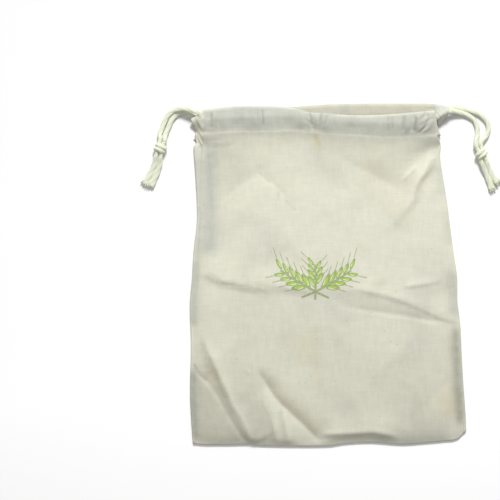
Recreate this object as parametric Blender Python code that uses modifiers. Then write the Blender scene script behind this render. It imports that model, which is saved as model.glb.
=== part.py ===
"""A drawstring bread bag of natural linen, empty and lying on its back.

+Z is up, +Y runs from the bottom of the bag to its mouth, and +X is to the right of the printed face.
The origin is under the middle of the bag, on the surface that it lies on.
Tables and lengths are in millimetres, and points are turned into metres where they are placed.
"""

import math
from collections import namedtuple

import bpy
from mathutils import Matrix, Vector

MM = 0.001

# Cloth and cord
CLOTH = 1.0
CORD_DIAMETER = 4.8
CLEARANCE = 0.3
SEAM_GAP = 0.5
CORD_RADIUS = CORD_DIAMETER / 2

# Heights of the middle of the cloth above the surface
BACK_LEVEL = CLOTH / 2
CAVITY = CORD_DIAMETER + 2 * CLEARANCE
WALL_TO_WALL = CAVITY + CLOTH
BACK_CHANNEL_TOP = BACK_LEVEL + WALL_TO_WALL + CLOTH / 2
STITCHED_STEP = CLOTH + CLEARANCE
BOTTOM_SEAM_LEVEL = BACK_LEVEL + STITCHED_STEP
BODY_LEVEL = 8.8

# How far the front leans away from the seams before it is at its full height
SIDE_SOFTNESS = 15.0
BOTTOM_SOFTNESS = 13.0

# The front climbs to the channel over this length, which is shorter near the seams
CHANNEL_RUN_MIDDLE = 62.0
CHANNEL_RUN_ENDS = 15.0
CHANNEL_RUN_CHANGE = 60.0
CHANNEL_RUN_STEEPNESS = 1.4

# The channels: the cords' lanes are measured from the mouth's edge
BACK_CHANNEL_HEIGHT = 26.5
CHANNEL_RISE = 6.0
UPPER_LANE = 6.8
LOWER_LANE = 13.8
INNER_EDGE_ABOVE_STITCHES = 1.4

# Where the channels end, across the bag. The turned-in layers stop short, so that the cords can turn round.
INNER_LEFT = -104.0
INNER_RIGHT = 85.0
FRONT_LEFT = -134.6
FRONT_RIGHT_AT_STITCHES = 118.0
FRONT_RIGHT_AT_MOUTH = 113.0
BACK_LEFT_AT_STITCHES = -145.0
BACK_LEFT_AT_MOUTH = -140.5
BACK_RIGHT_AT_STITCHES = 118.0
BACK_RIGHT_AT_MOUTH = 129.5
OUTER_END_STRIP = 8.0
INNER_END_STRIP = 3.0

Place = namedtuple("Place", "at value")

# Sides of the bag as it lies, from the bottom up: height up the bag, distance across
LEFT_EDGE = [
    Place(-184, -146.5), Place(-135, -149.5), Place(-76, -148.6), Place(-34, -149.8), Place(-2, -147.4),
    Place(27, -145.7), Place(60, -142.0), Place(103, -143.5), Place(135, -145.6), Place(152, -146.0),
]
RIGHT_EDGE = [
    Place(-184, 149.6), Place(-165, 149.8), Place(-141, 148.6), Place(-118, 147.0), Place(-83, 145.0),
    Place(-49, 143.4), Place(-22, 140.4), Place(5, 139.8), Place(33, 135.7), Place(60, 132.1),
    Place(88, 128.3), Place(119, 122.8), Place(131, 121.4), Place(142, 122.2), Place(152, 118.4),
]
# Bottom, mouth and channel stitching: distance across, height up the bag
BOTTOM_EDGE = [
    Place(-150, -176.0), Place(-145, -182.6), Place(-116, -184.0), Place(-85, -183.6), Place(-79, -184.6),
    Place(-39, -185.6), Place(1, -185.2), Place(19, -182.6), Place(47, -181.3), Place(80, -183.5),
    Place(102, -182.1), Place(124, -180.0), Place(140, -177.6), Place(150, -167.5),
]
FRONT_MOUTH = [
    Place(-136, 177.8), Place(-105, 181.2), Place(-73, 181.8), Place(-46, 180.6), Place(-33, 178.0),
    Place(-18, 174.5), Place(-6, 173.9), Place(28, 171.2), Place(66, 172.4), Place(97, 175.4),
    Place(119, 177.6),
]
BACK_MOUTH = [
    Place(-148, 172.0), Place(-136, 177.0), Place(-105, 180.4), Place(-60, 181.2), Place(-35, 182.2),
    Place(1, 184.8), Place(41, 185.6), Place(91, 185.6), Place(115, 185.2), Place(131, 182.0),
]
FRONT_STITCHES = [
    Place(-136, 151.8), Place(-100, 154.2), Place(-72, 154.0), Place(-33, 154.8), Place(-7, 151.6),
    Place(28, 149.6), Place(66, 147.6), Place(103, 149.4), Place(119, 150.6),
]
# The gap that the mouth stands open by, across the bag
MOUTH_GAP = [
    Place(-136, 0.9), Place(-80, 1.4), Place(-30, 4.6), Place(5, 6.3), Place(60, 6.3), Place(90, 4.4),
    Place(119, 1.6),
]
# The back's edge rolls over onto the front: height up the bag, how far the seam lies inside the bag's edge
LEFT_SEAM_INSET = [
    Place(-184, 3.2), Place(40, 3.4), Place(66, 4.0), Place(100, 6.0), Place(120, 8.2), Place(150, 11.4),
]
RIGHT_SEAM_INSET = [Place(-184, 3.2), Place(150, 3.4)]
# The rolled edge opens flat again just below the channel
UNROLLED_BELOW_STITCHES = 2.0
UNROLL_RUN = 15.0
NEARLY_FLAT = 0.001
# Height up the bag, rise of the rolled edge from the cloth below it
LEFT_ROLL = [Place(-184, 1.9), Place(-120, 2.4), Place(60, 2.8), Place(130, 4.0), Place(150, 4.4)]
RIGHT_ROLL = [Place(-184, 1.9), Place(-120, 2.6), Place(60, 2.8), Place(150, 3.4)]

# Creases of the front: a crest along its points, or a trough where the height is below 0.
# lit is the width on the left of the line as it runs, and shaded the width on the right.
Crease = namedtuple("Crease", "name points height lit shaded fade_in fade_out")
CREASES = [
    Crease("pressed fold left", [(-139, 6), (-115, -6), (-90, -11), (-61, -12), (0, -17)],
           height=2.3, lit=30, shaded=8, fade_in=0.10, fade_out=0.20),
    Crease("pressed fold right", [(0, -16), (33, -15), (71, -23), (114, -34), (139, -50)],
           height=3.0, lit=34, shaded=15, fade_in=0.15, fade_out=0.10),
    Crease("fold to right seam", [(124, 133), (98, 103), (93, 84), (57, 39)],
           height=2.4, lit=16, shaded=7, fade_in=0.05, fade_out=0.45),
    Crease("short fold", [(96, 118), (79, 95)],
           height=1.0, lit=9, shaded=5, fade_in=0.30, fade_out=0.40),
    Crease("slack below channel", [(-14, 150), (17, 125), (76, 93), (93, 70)],
           height=-1.2, lit=15, shaded=15, fade_in=0.10, fade_out=0.35),
    Crease("slack upper left", [(-82, 119), (-53, 92)],
           height=-0.8, lit=9, shaded=9, fade_in=0.40, fade_out=0.40),
    Crease("long corner fold", [(-77, -186), (-95, -158), (-107, -134), (-116, -112), (-134, -68)],
           height=3.4, lit=9, shaded=40, fade_in=0.06, fade_out=0.30),
    Crease("second corner fold", [(-54, -186), (-59, -152), (-68, -113)],
           height=1.7, lit=7, shaded=22, fade_in=0.05, fade_out=0.50),
    Crease("third corner fold", [(-44, -186), (-50, -159), (-53, -138)],
           height=1.5, lit=5, shaded=16, fade_in=0.05, fade_out=0.50),
    Crease("trough to bottom", [(-6, -186), (-28, -160), (-50, -141), (-70, -113), (-86, -92)],
           height=-2.0, lit=28, shaded=22, fade_in=0.06, fade_out=0.40),
    Crease("bottom wave", [(-10, -170), (8, -171.5), (30, -170), (49, -168), (62, -170.5), (80, -177)],
           height=3.2, lit=24, shaded=10, fade_in=0.25, fade_out=0.25),
    Crease("centre press", [(-13, -45), (-12, -150)],
           height=-0.7, lit=9, shaded=9, fade_in=0.25, fade_out=0.25),
    Crease("right ripple", [(78, -12), (119, -6)],
           height=0.9, lit=9, shaded=12, fade_in=0.35, fade_out=0.30),
    Crease("right edge ripple", [(136, -60), (139, -120)],
           height=1.2, lit=12, shaded=8, fade_in=0.30, fade_out=0.30),
]
CREASE_STEEPNESS = 1.6
CREST_SOFTNESS = 2.2
CREASE_CLEAR_OF_SEAM = 9.0

# Puckers of the channels: place across, height, half width
Pucker = namedtuple("Pucker", "across height width")
PUCKERS = [
    Pucker(-127, 1.2, 5), Pucker(-113, 0.9, 6), Pucker(-78, 0.8, 7), Pucker(-30, 1.6, 6), Pucker(-5, 1.8, 6),
    Pucker(12, 0.8, 6), Pucker(42, 0.8, 8), Pucker(66, 1.2, 6), Pucker(83, 1.5, 6), Pucker(97, 1.7, 5),
    Pucker(108, 1.4, 5),
]
# Where the cords lie in the channels, across the bag: from their own end to the turn at the other end
LEFT_CORD_FRONT_END = -121.0
LEFT_CORD_BACK_END = -129.0
LEFT_CORD_TURN = 93.0
RIGHT_CORD_FRONT_END = 103.0
RIGHT_CORD_BACK_END = 105.0
RIGHT_CORD_TURN = -106.0
# The bend of that turn: share of the way from the front lane to the back one, and reach past their ends
Bend = namedtuple("Bend", "share reach")
TURN_BEND = [Bend(0.12, 4.3), Bend(0.5, 6.2), Bend(0.88, 4.3)]

# Free ends of the drawstrings, on from the channel's end to the knot: across, up the bag, above the surface
LEFT_FRONT_ROUTE = [
    (-131, 172.6, 11.8), (-140, 174.8, 11.2), (-149, 178.0, 9.8), (-158, 179.4, 8.0), (-167, 177.6, 5.4),
    (-174.6, 170.4, 3.3), (-179.0, 160.6, 3.0), (-181.9, 152.0, 4.2),
]
LEFT_BACK_ROUTE = [
    (-138, 168.0, 3.7), (-146, 171.4, 3.6), (-154, 174.8, 3.0), (-161, 175.2, 2.7), (-166.6, 171.6, 2.7),
    (-170.4, 165.6, 2.7), (-173.6, 157.8, 2.8), (-176.4, 150.8, 4.2),
]
RIGHT_FRONT_ROUTE = [
    (112, 166.4, 12.8), (121, 171.4, 9.8), (130, 175.2, 7.2), (141, 174.9, 4.0), (151, 172.3, 2.8),
    (158.4, 167.4, 2.7), (161.4, 159.6, 2.7), (161.3, 151.6, 3.0), (159.9, 145.8, 4.5),
]
RIGHT_BACK_ROUTE = [
    (114, 178.4, 3.7), (121.6, 178.8, 3.9), (130, 180.2, 3.6), (141, 180.2, 2.8), (152, 178.0, 2.7),
    (163, 174.4, 2.7), (171.0, 167.6, 2.7), (173.8, 159.0, 2.7), (171.4, 151.0, 3.0), (167.4, 146.4, 4.5),
]
# Tails below the knots
LEFT_FRONT_TAIL = [(-187.2, 121.6, 4.2), (-190.6, 112.8, 3.0), (-195.0, 104.6, 2.7), (-199.0, 99.0, 2.7)]
LEFT_BACK_TAIL = [(-181.9, 120.4, 4.2), (-184.9, 111.4, 3.0), (-188.8, 102.8, 2.7), (-192.0, 96.4, 2.7)]
RIGHT_FRONT_TAIL = [(168.6, 114.6, 4.2), (172.2, 107.0, 3.0), (175.2, 99.6, 2.7), (177.2, 93.2, 2.7)]
RIGHT_BACK_TAIL = [(173.8, 117.0, 4.2), (177.8, 110.4, 3.0), (181.8, 105.4, 2.7), (185.8, 102.0, 2.7)]

# Knots: the place of the middle, the way that the tails leave, and the slant of the turn round them
Knot = namedtuple("Knot", "name centre heading slant")
LEFT_KNOT = Knot("knot_left", (-181.4, 136.6), -104.0, 28.0)
RIGHT_KNOT = Knot("knot_right", (165.2, 130.7), -72.0, -24.0)
KNOT_LENGTH = 15.0
KNOT_LEVEL = 5.7
STRAND_OFFSET = 2.55
WRAP_ACROSS = 4.4
WRAP_UP = 3.3
WRAP_RADIUS = 2.3
KNOT_SIDES = 8
WRAP_STEPS = 14
WRAP_SIDES = 8
UNIT_WRAP_RADIUS = 0.5
STRAIGHT_END = 3.0
CORD_STEP = 10.0
LOOP_STEP = 10.0

# Steps of the cloth's grids. Rows of the body lie closer over the folds: share of its height, number of rows.
Rows = namedtuple("Rows", "start end count")
BODY_ROWS = [Rows(0.0, 0.12, 6), Rows(0.12, 0.36, 8), Rows(0.36, 0.58, 10), Rows(0.58, 0.88, 8),
             Rows(0.88, 1.0, 6)]
FRONT_COLUMNS = 34
BACK_COLUMNS = 18
ROLL_STEPS = 4
CHANNEL_SHARES = [0.13, 0.28, 0.5, 0.75]
TURN_ANGLES = [90, 45, 0, -45, -90]
INNER_SHARES = [0.65, 1.0]


def smooth(share):
    """0 to 1, level at both ends."""
    share = min(max(share, 0.0), 1.0)
    return share * share * (3 - 2 * share)


def mix(a, b, share):
    return a + (b - a) * share


def along(table, at):
    """The table's value at a place, on a smooth curve through its rows."""
    if at <= table[0].at:
        return table[0].value
    if at >= table[-1].at:
        return table[-1].value
    i = max(n for n in range(len(table) - 1) if table[n].at <= at)
    before, a, b, after = (table[max(0, min(len(table) - 1, i + k))] for k in (-1, 0, 1, 2))
    span = b.at - a.at
    slope_a = (b.value - before.value) / (b.at - before.at) * span
    slope_b = (after.value - a.value) / (after.at - a.at) * span
    t = (at - a.at) / span
    return (
        (2 * t**3 - 3 * t**2 + 1) * a.value
        + (t**3 - 2 * t**2 + t) * slope_a
        + (3 * t**2 - 2 * t**3) * b.value
        + (t**3 - t**2) * slope_b
    )


def left_seam(up):
    return along(LEFT_EDGE, up) + along(LEFT_SEAM_INSET, up)


def right_seam(up):
    return along(RIGHT_EDGE, up) - along(RIGHT_SEAM_INSET, up)


def inner_wall(across):
    """Middle of the turned-in layer of the front channel, above the surface."""
    return BACK_CHANNEL_TOP + along(MOUTH_GAP, across) + CLOTH / 2


def nearest_on(points, across, up):
    """Distance along the line (0 to 1) and signed distance from it, positive on its left."""
    runs = [math.dist(a, b) for a, b in zip(points, points[1:])]
    best, found, before = math.inf, (0.0, 0.0), 0.0
    for (ax, ay), (bx, by), run in zip(points, points[1:], runs):
        share = ((across - ax) * (bx - ax) + (up - ay) * (by - ay)) / run**2
        share = min(max(share, 0.0), 1.0)
        dx, dy = across - mix(ax, bx, share), up - mix(ay, by, share)
        away = math.hypot(dx, dy)
        if away < best:
            side = math.copysign(1.0, (bx - ax) * dy - (by - ay) * dx)
            best, found = away, ((before + share * run) / sum(runs), side * away)
        before += run
    return found


def crease_height(crease, across, up):
    share, away = nearest_on(crease.points, across, up)
    width = crease.lit if away > 0 else crease.shaded
    soft = CREST_SOFTNESS / width
    far = math.sqrt((away / width) ** 2 + soft**2) - soft
    if far >= 1:
        return 0.0
    fade = smooth(share / crease.fade_in) * smooth((1 - share) / crease.fade_out)
    return crease.height * fade * (1 - far) ** CREASE_STEEPNESS


def front_height(across, up):
    """Middle of the front cloth, above the surface, anywhere below the channel."""
    from_left = max(0.0, across - left_seam(up))
    from_right = max(0.0, right_seam(up) - across)
    from_bottom = max(0.0, up - along(BOTTOM_EDGE, across))
    nearness = from_left / (from_left + from_right + 1e-6)
    edge = BACK_LEVEL + mix(along(LEFT_ROLL, up), along(RIGHT_ROLL, up), nearness)
    edge = mix(BOTTOM_SEAM_LEVEL, edge, smooth(from_bottom / BOTTOM_SOFTNESS))
    fullness = (
        (1 - math.exp(-from_left / SIDE_SOFTNESS))
        * (1 - math.exp(-from_right / SIDE_SOFTNESS))
        * (1 - math.exp(-from_bottom / BOTTOM_SOFTNESS))
    )
    height = mix(edge, BODY_LEVEL, fullness)
    clear = smooth(min(from_left, from_right, from_bottom) / CREASE_CLEAR_OF_SEAM)
    height += clear * sum(crease_height(c, across, up) for c in CREASES)
    run = mix(CHANNEL_RUN_ENDS, CHANNEL_RUN_MIDDLE, smooth(min(from_left, from_right) / CHANNEL_RUN_CHANGE))
    below_stitches = along(FRONT_STITCHES, across) - up
    lifted = inner_wall(across) + STITCHED_STEP
    return mix(height, lifted, smooth(1 - below_stitches / run) ** CHANNEL_RUN_STEEPNESS)


def puckers(across):
    return sum(p.height * math.exp(-(((across - p.across) / p.width) ** 2)) for p in PUCKERS)


def channel_bulge(above_stitches):
    """Distance between the middles of a channel's two walls."""
    return mix(STITCHED_STEP, WALL_TO_WALL, smooth(above_stitches / CHANNEL_RISE))


def turned_in(zone, share):
    """0 on a channel's outer wall, 1 on its turned-in layer, and between them round the mouth's edge."""
    if zone == "turn":
        return (90 - share) / 180
    return 1.0 if zone == "inner" else 0.0


def front_point(zone, share, side):
    """A point of the front cloth. side runs 0 to 1 from left to right."""
    if zone == "body":
        left_top, right_top = (along(FRONT_STITCHES, end) for end in (FRONT_LEFT, FRONT_RIGHT_AT_STITCHES))
        left_up = mix(along(BOTTOM_EDGE, LEFT_EDGE[0].value), left_top, share)
        right_up = mix(along(BOTTOM_EDGE, RIGHT_EDGE[0].value), right_top, share)
        across = mix(left_seam(left_up) + SEAM_GAP / 2, right_seam(right_up) - SEAM_GAP / 2, side)
        up = mix(along(BOTTOM_EDGE, across), along(FRONT_STITCHES, across), share)
        return Vector((across, up, front_height(across, up)))
    inward = turned_in(zone, share)
    right = mix(FRONT_RIGHT_AT_STITCHES, FRONT_RIGHT_AT_MOUTH, smooth(share) if zone == "outer" else 1.0)
    across = mix(mix(FRONT_LEFT, INNER_LEFT, inward), mix(right, INNER_RIGHT, inward), side)
    stitches = along(FRONT_STITCHES, across)
    wall = inner_wall(across)
    radius = WALL_TO_WALL / 2
    turn = along(FRONT_MOUTH, across) - CLOTH / 2 - radius
    if zone == "outer":
        ripple = puckers(across) * smooth(2 * share)
        height = wall + channel_bulge(share * (turn - stitches)) + ripple
        return Vector((across, mix(stitches, turn, share), height))
    if zone == "turn":
        angle = math.radians(share)
        height = wall + radius + radius * math.sin(angle) + puckers(across) * (1 - inward) ** 2
        return Vector((across, turn + radius * math.cos(angle), height))
    return Vector((across, mix(turn, stitches + INNER_EDGE_ABOVE_STITCHES, share), wall))


def back_stitches(across):
    return along(BACK_MOUTH, across) - BACK_CHANNEL_HEIGHT


def rolled_edge(share, left, step):
    """A point of the back's edge, which rolls up and over on to the front. step counts inwards from 0."""
    edges, insets, rises, outward = RIGHT_EDGE, RIGHT_SEAM_INSET, RIGHT_ROLL, 1.0
    if left:
        edges, insets, rises, outward = LEFT_EDGE, LEFT_SEAM_INSET, LEFT_ROLL, -1.0
    stitches = back_stitches(edges[-1].value)
    up = mix(along(BOTTOM_EDGE, edges[0].value), stitches, share)
    radius = along(rises, up) / 2
    arc = math.pi * radius
    straight = along(insets, up) - (SEAM_GAP + CLOTH) / 2 - radius
    rolled = smooth((stitches - UNROLLED_BELOW_STITCHES - up) / UNROLL_RUN)
    angle = max(math.pi * rolled, NEARLY_FLAT)
    furthest = arc / angle
    if angle < math.pi / 2:
        furthest = arc / angle * math.sin(angle) + straight * math.cos(angle)
    turned = angle * min(step / ROLL_STEPS, 1.0)
    out = arc / angle * math.sin(turned)
    rise = arc / angle * (1 - math.cos(turned))
    if step > ROLL_STEPS:
        out += straight * math.cos(angle)
        rise += straight * math.sin(angle)
    return along(edges, up) + outward * (out - furthest - CLOTH / 2), BACK_LEVEL + rise


def back_point(zone, share, side):
    """A point of the back cloth. side below 0 or above 1 counts steps round the rolled edge."""
    steps = max(0.0, -side, side - 1.0)
    side_in = min(max(side, 0.0), 1.0)
    left = side_in < 0.5
    if zone == "body":
        if steps:
            across, height = rolled_edge(share, left, steps)
        else:
            across = mix(rolled_edge(share, True, 0)[0], rolled_edge(share, False, 0)[0], side_in)
            height = BACK_LEVEL
        return Vector((across, mix(along(BOTTOM_EDGE, across), back_stitches(across), share), height))
    inward = turned_in(zone, -share)
    up_share = share if zone == "outer" else 1.0
    strip = mix(OUTER_END_STRIP, INNER_END_STRIP, inward)
    left_end = mix(mix(BACK_LEFT_AT_STITCHES, BACK_LEFT_AT_MOUTH, up_share), INNER_LEFT, inward)
    right_end = mix(BACK_RIGHT_AT_STITCHES, BACK_RIGHT_AT_MOUTH, smooth(up_share))
    right_end = mix(right_end, INNER_RIGHT, inward)
    across = mix(left_end + strip, right_end - strip, side_in)
    across += math.copysign(strip, side_in - 0.5) * steps / (ROLL_STEPS + 1)
    stitches = back_stitches(across)
    radius = WALL_TO_WALL / 2
    turn = along(BACK_MOUTH, across) - CLOTH / 2 - radius
    if zone == "outer":
        return Vector((across, mix(stitches, turn, share), BACK_LEVEL))
    if zone == "turn":
        angle = math.radians(share)
        height = BACK_LEVEL + radius + radius * math.sin(angle)
        return Vector((across, turn + radius * math.cos(angle), height))
    above_stitches = mix(turn - stitches, INNER_EDGE_ABOVE_STITCHES, share)
    rise = channel_bulge(above_stitches - INNER_EDGE_ABOVE_STITCHES)
    return Vector((across, stitches + above_stitches, BACK_LEVEL + rise))


def cloth_sheet(name, rows, columns, point, material):
    """A grid shaped by point(zone, share, side) for each row and column, and given its thickness."""
    bpy.ops.mesh.primitive_grid_add(x_subdivisions=len(columns) - 1, y_subdivisions=len(rows) - 1, size=1)
    sheet = bpy.context.active_object
    sheet.name = sheet.data.name = name
    for vertex in sheet.data.vertices:
        column = round((vertex.co.x + 0.5) * (len(columns) - 1))
        row = round((vertex.co.y + 0.5) * (len(rows) - 1))
        zone, share = rows[row]
        vertex.co = point(zone, share, columns[column]) * MM
    thickness = sheet.modifiers.new("Cloth", "SOLIDIFY")
    thickness.thickness = CLOTH * MM
    thickness.offset = 0
    return finished(sheet, material)


def finished(piece, material):
    piece.data.materials.append(material)
    for polygon in piece.data.polygons if piece.type == "MESH" else ():
        polygon.use_smooth = True
    return piece


def panel_rows(turn_angles):
    """Rows of a panel from the bottom up: body, the channel's outer wall, its turn and the turned-in layer."""
    body = [("body", 0.0)]
    for rows in BODY_ROWS:
        body += [("body", mix(rows.start, rows.end, n / rows.count)) for n in range(1, rows.count + 1)]
    outer = [("outer", share) for share in CHANNEL_SHARES]
    turn = [("turn", angle) for angle in turn_angles]
    return body + outer + turn + [("inner", share) for share in INNER_SHARES]


def front_panel(material):
    columns = [n / FRONT_COLUMNS for n in range(FRONT_COLUMNS + 1)]
    return cloth_sheet("front_panel", panel_rows(TURN_ANGLES), columns, front_point, material)


def back_panel(material):
    rolled = range(1, ROLL_STEPS + 2)
    columns = [-float(n) for n in reversed(rolled)]
    columns += [n / BACK_COLUMNS for n in range(BACK_COLUMNS + 1)]
    columns += [1.0 + n for n in rolled]
    return cloth_sheet("back_panel", panel_rows(TURN_ANGLES[::-1]), columns, back_point, material)


def smooth_route(points, step):
    """Points about one step apart on a smooth curve through the route's own points."""
    points = [Vector(p) for p in points]
    ends = [2 * points[0] - points[1], *points, 2 * points[-1] - points[-2]]
    route = [points[0]]
    for before, a, b, after in zip(ends, ends[1:], ends[2:], ends[3:]):
        count = max(1, round((b - a).length / step))
        for n in range(1, count + 1):
            t = n / count
            route.append(0.5 * (
                2 * a + (b - before) * t + (2 * before - 5 * a + 4 * b - after) * t**2
                + (3 * a - before - 3 * b + after) * t**3
            ))
    return route


def cord_tube(name, route, material):
    curve = bpy.data.curves.new(name, "CURVE")
    curve.dimensions = "3D"
    curve.bevel_depth = CORD_RADIUS * MM
    curve.bevel_resolution = 2
    curve.use_fill_caps = True
    line = curve.splines.new("POLY")
    line.points.add(len(route) - 1)
    for point, place in zip(line.points, route):
        point.co = (*(place * MM), 1.0)
    tube = bpy.data.objects.new(name, curve)
    bpy.context.scene.collection.objects.link(tube)
    return finished(tube, material)


def knot_frame(knot):
    """Place of a knot, with X along the cord towards the tails, and Y across it."""
    place = Matrix.Translation(Vector((*knot.centre, KNOT_LEVEL)) * MM)
    return place @ Matrix.Rotation(math.radians(knot.heading), 4, "Z")


def knot_end(knot, side, tail):
    """A strand's first two points at the knot. side is 1 or -1 across it, and tail tells its lower end."""
    forward = 1.0 if tail else -1.0
    nearest = KNOT_LENGTH / 2 + CLEARANCE
    reaches = (nearest, nearest + STRAIGHT_END)
    places = [Vector((forward * reach, side * STRAND_OFFSET, 0)) for reach in reaches]
    return [knot_frame(knot) @ (place * MM) / MM for place in places]


def knot_solid(knot, material):
    """Two strands side by side with the turn that holds them, joined into one lump."""
    frame = knot_frame(knot)
    along_x = Matrix.Rotation(math.pi / 2, 4, "Y")
    strands = []
    for side in (1, -1):
        bpy.ops.mesh.primitive_cylinder_add(
            vertices=KNOT_SIDES, radius=CORD_RADIUS * MM, depth=KNOT_LENGTH * MM
        )
        strand = bpy.context.active_object
        strand.matrix_world = frame @ Matrix.Translation((0, side * STRAND_OFFSET * MM, 0)) @ along_x
        strands.append(strand)
    bpy.ops.mesh.primitive_torus_add(
        major_segments=WRAP_STEPS, minor_segments=WRAP_SIDES, major_radius=1.0, minor_radius=UNIT_WRAP_RADIUS
    )
    wrap = bpy.context.active_object
    for vertex in wrap.data.vertices:
        ring = Vector((vertex.co.x, vertex.co.y, 0)).normalized()
        from_ring = (vertex.co - ring) * WRAP_RADIUS / UNIT_WRAP_RADIUS
        vertex.co = (Vector((ring.x * WRAP_UP, ring.y * WRAP_ACROSS, 0)) + from_ring) * MM
    wrap.matrix_world = frame @ Matrix.Rotation(math.radians(knot.slant), 4, "Z") @ along_x
    return joined(knot.name, [strands[0], wrap, strands[1]], material)


def joined(name, bodies, material):
    """One object of the bodies, with a Boolean union, and the others removed."""
    bpy.context.view_layer.update()
    base = bodies[0]
    base.name = base.data.name = name
    for other in bodies[1:]:
        union = base.modifiers.new("Join", "BOOLEAN")
        union.operation = "UNION"
        union.object = other
        mesh = bpy.data.meshes.new_from_object(base.evaluated_get(bpy.context.evaluated_depsgraph_get()))
        base.modifiers.clear()
        base.data = mesh
        bpy.data.objects.remove(other)
    return finished(base, material)


def front_lane(across, below_mouth):
    """Middle of a cord in the front channel."""
    return Vector((across, along(FRONT_MOUTH, across) - below_mouth, inner_wall(across) + WALL_TO_WALL / 2))


def back_lane(across, below_mouth):
    """Middle of a cord in the back channel."""
    return Vector((across, along(BACK_MOUTH, across) - below_mouth, BACK_LEVEL + WALL_TO_WALL / 2))


def cord_in_channels(front_end, back_end, turn, front_below, back_below):
    """Route through the front channel, round at the far side and back through the back channel."""
    steps = round(abs(turn - front_end) / LOOP_STEP)
    front = [front_lane(mix(front_end, turn, n / steps), front_below) for n in range(steps + 1)]
    back = [back_lane(mix(turn, back_end, n / steps), back_below) for n in range(steps + 1)]
    outward = Vector((math.copysign(1.0, turn - front_end), 0, 0))
    bend = [mix(front[-1], back[0], row.share) + row.reach * outward for row in TURN_BEND]
    return front + bend + back


def drawstring(cord, side):
    """One drawstring: its stretch in the channels, two free strands, a knot and two tails."""
    if side == "left":
        front_end, back_end, turn = LEFT_CORD_FRONT_END, LEFT_CORD_BACK_END, LEFT_CORD_TURN
        front_below, back_below, knot, outward = UPPER_LANE, LOWER_LANE, LEFT_KNOT, -1.0
        front_route, back_route, front_tail, back_tail = (
            LEFT_FRONT_ROUTE, LEFT_BACK_ROUTE, LEFT_FRONT_TAIL, LEFT_BACK_TAIL
        )
    else:
        front_end, back_end, turn = RIGHT_CORD_FRONT_END, RIGHT_CORD_BACK_END, RIGHT_CORD_TURN
        front_below, back_below, knot, outward = LOWER_LANE, UPPER_LANE, RIGHT_KNOT, 1.0
        front_route, back_route, front_tail, back_tail = (
            RIGHT_FRONT_ROUTE, RIGHT_BACK_ROUTE, RIGHT_FRONT_TAIL, RIGHT_BACK_TAIL
        )
    inside = cord_in_channels(front_end, back_end, turn, front_below, back_below)
    cord_tube(f"drawstring_{side}", inside, cord)
    leaving = [outward * CLEARANCE, outward * (CLEARANCE + STRAIGHT_END)]
    front_start = [front_lane(front_end + further, front_below) for further in leaving]
    back_start = [back_lane(back_end + further, back_below) for further in leaving]
    routes = {
        f"strand_{side}_front": [*front_start, *front_route, *reversed(knot_end(knot, -1, tail=False))],
        f"strand_{side}_back": [*back_start, *back_route, *reversed(knot_end(knot, 1, tail=False))],
        f"tail_{side}_front": [*knot_end(knot, -1, tail=True), *front_tail],
        f"tail_{side}_back": [*knot_end(knot, 1, tail=True), *back_tail],
    }
    for name, route in routes.items():
        cord_tube(name, smooth_route(route, CORD_STEP), cord)
    knot_solid(knot, cord)


def finish_of(name, colour, roughness):
    material = bpy.data.materials.new(name)
    material.use_nodes = True
    shader = material.node_tree.nodes["Principled BSDF"]
    shader.inputs["Base Color"].default_value = (*colour, 1.0)
    shader.inputs["Roughness"].default_value = roughness
    shader.inputs["Metallic"].default_value = 0.0
    return material


def main():
    for old in list(bpy.data.objects):
        bpy.data.objects.remove(old)
    linen = finish_of("natural linen", (0.72, 0.70, 0.58), 0.9)
    cotton = finish_of("cotton cord", (0.78, 0.79, 0.62), 0.85)
    back_panel(linen)
    front_panel(linen)
    for side in ("left", "right"):
        drawstring(cotton, side)
    bag = bpy.data.collections.new("Linen bread bag")
    bpy.context.scene.collection.children.link(bag)
    for piece in list(bpy.context.scene.collection.objects):
        bag.objects.link(piece)
        bpy.context.scene.collection.objects.unlink(piece)


main()
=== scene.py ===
"""A drawstring bread bag of natural linen with a green wheat print, empty and lying on its back.

Written as a Blender add-on: each piece of the bag is an operator, and its sizes and colours are properties
in the sidebar. Run as a script, it makes the whole bag on a pale surface under soft light.

+Z is up, +Y runs from the bottom of the bag to its mouth, and +X is to the right of the printed face.
Tables and lengths are in millimetres, and points are turned into metres where they are placed.
"""

import math
import random
from collections import namedtuple

import bpy
import numpy as np
from bpy.props import FloatProperty, FloatVectorProperty, IntProperty, PointerProperty
from mathutils import Matrix, Vector, noise


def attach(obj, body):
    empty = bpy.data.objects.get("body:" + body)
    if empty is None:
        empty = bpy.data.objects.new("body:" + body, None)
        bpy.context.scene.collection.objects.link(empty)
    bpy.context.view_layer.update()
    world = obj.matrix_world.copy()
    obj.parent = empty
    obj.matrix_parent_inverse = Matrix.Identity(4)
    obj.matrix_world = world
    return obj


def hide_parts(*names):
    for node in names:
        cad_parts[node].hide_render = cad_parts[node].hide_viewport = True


bl_info = {
    "name": "Linen bread bag",
    "version": (1, 0, 0),
    "blender": (4, 5, 0),
    "location": "3D View > Sidebar > Bread bag",
    "description": "Makes a drawstring bread bag of printed linen, lying on its back",
    "category": "Add Mesh",
}

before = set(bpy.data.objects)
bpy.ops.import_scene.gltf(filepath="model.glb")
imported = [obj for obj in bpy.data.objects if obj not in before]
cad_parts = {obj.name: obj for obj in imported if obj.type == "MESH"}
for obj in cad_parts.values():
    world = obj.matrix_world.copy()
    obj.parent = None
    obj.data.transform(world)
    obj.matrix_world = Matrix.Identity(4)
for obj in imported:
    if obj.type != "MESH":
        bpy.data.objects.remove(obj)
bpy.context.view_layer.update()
BODY = "root"

MM = 0.001

# Cloth and cord of the solids that the pieces lie on
CLOTH = 1.0
CORD_DIAMETER = 4.8
CLEARANCE = 0.3
SEAM_GAP = 0.5
CORD_RADIUS = CORD_DIAMETER / 2

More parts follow.
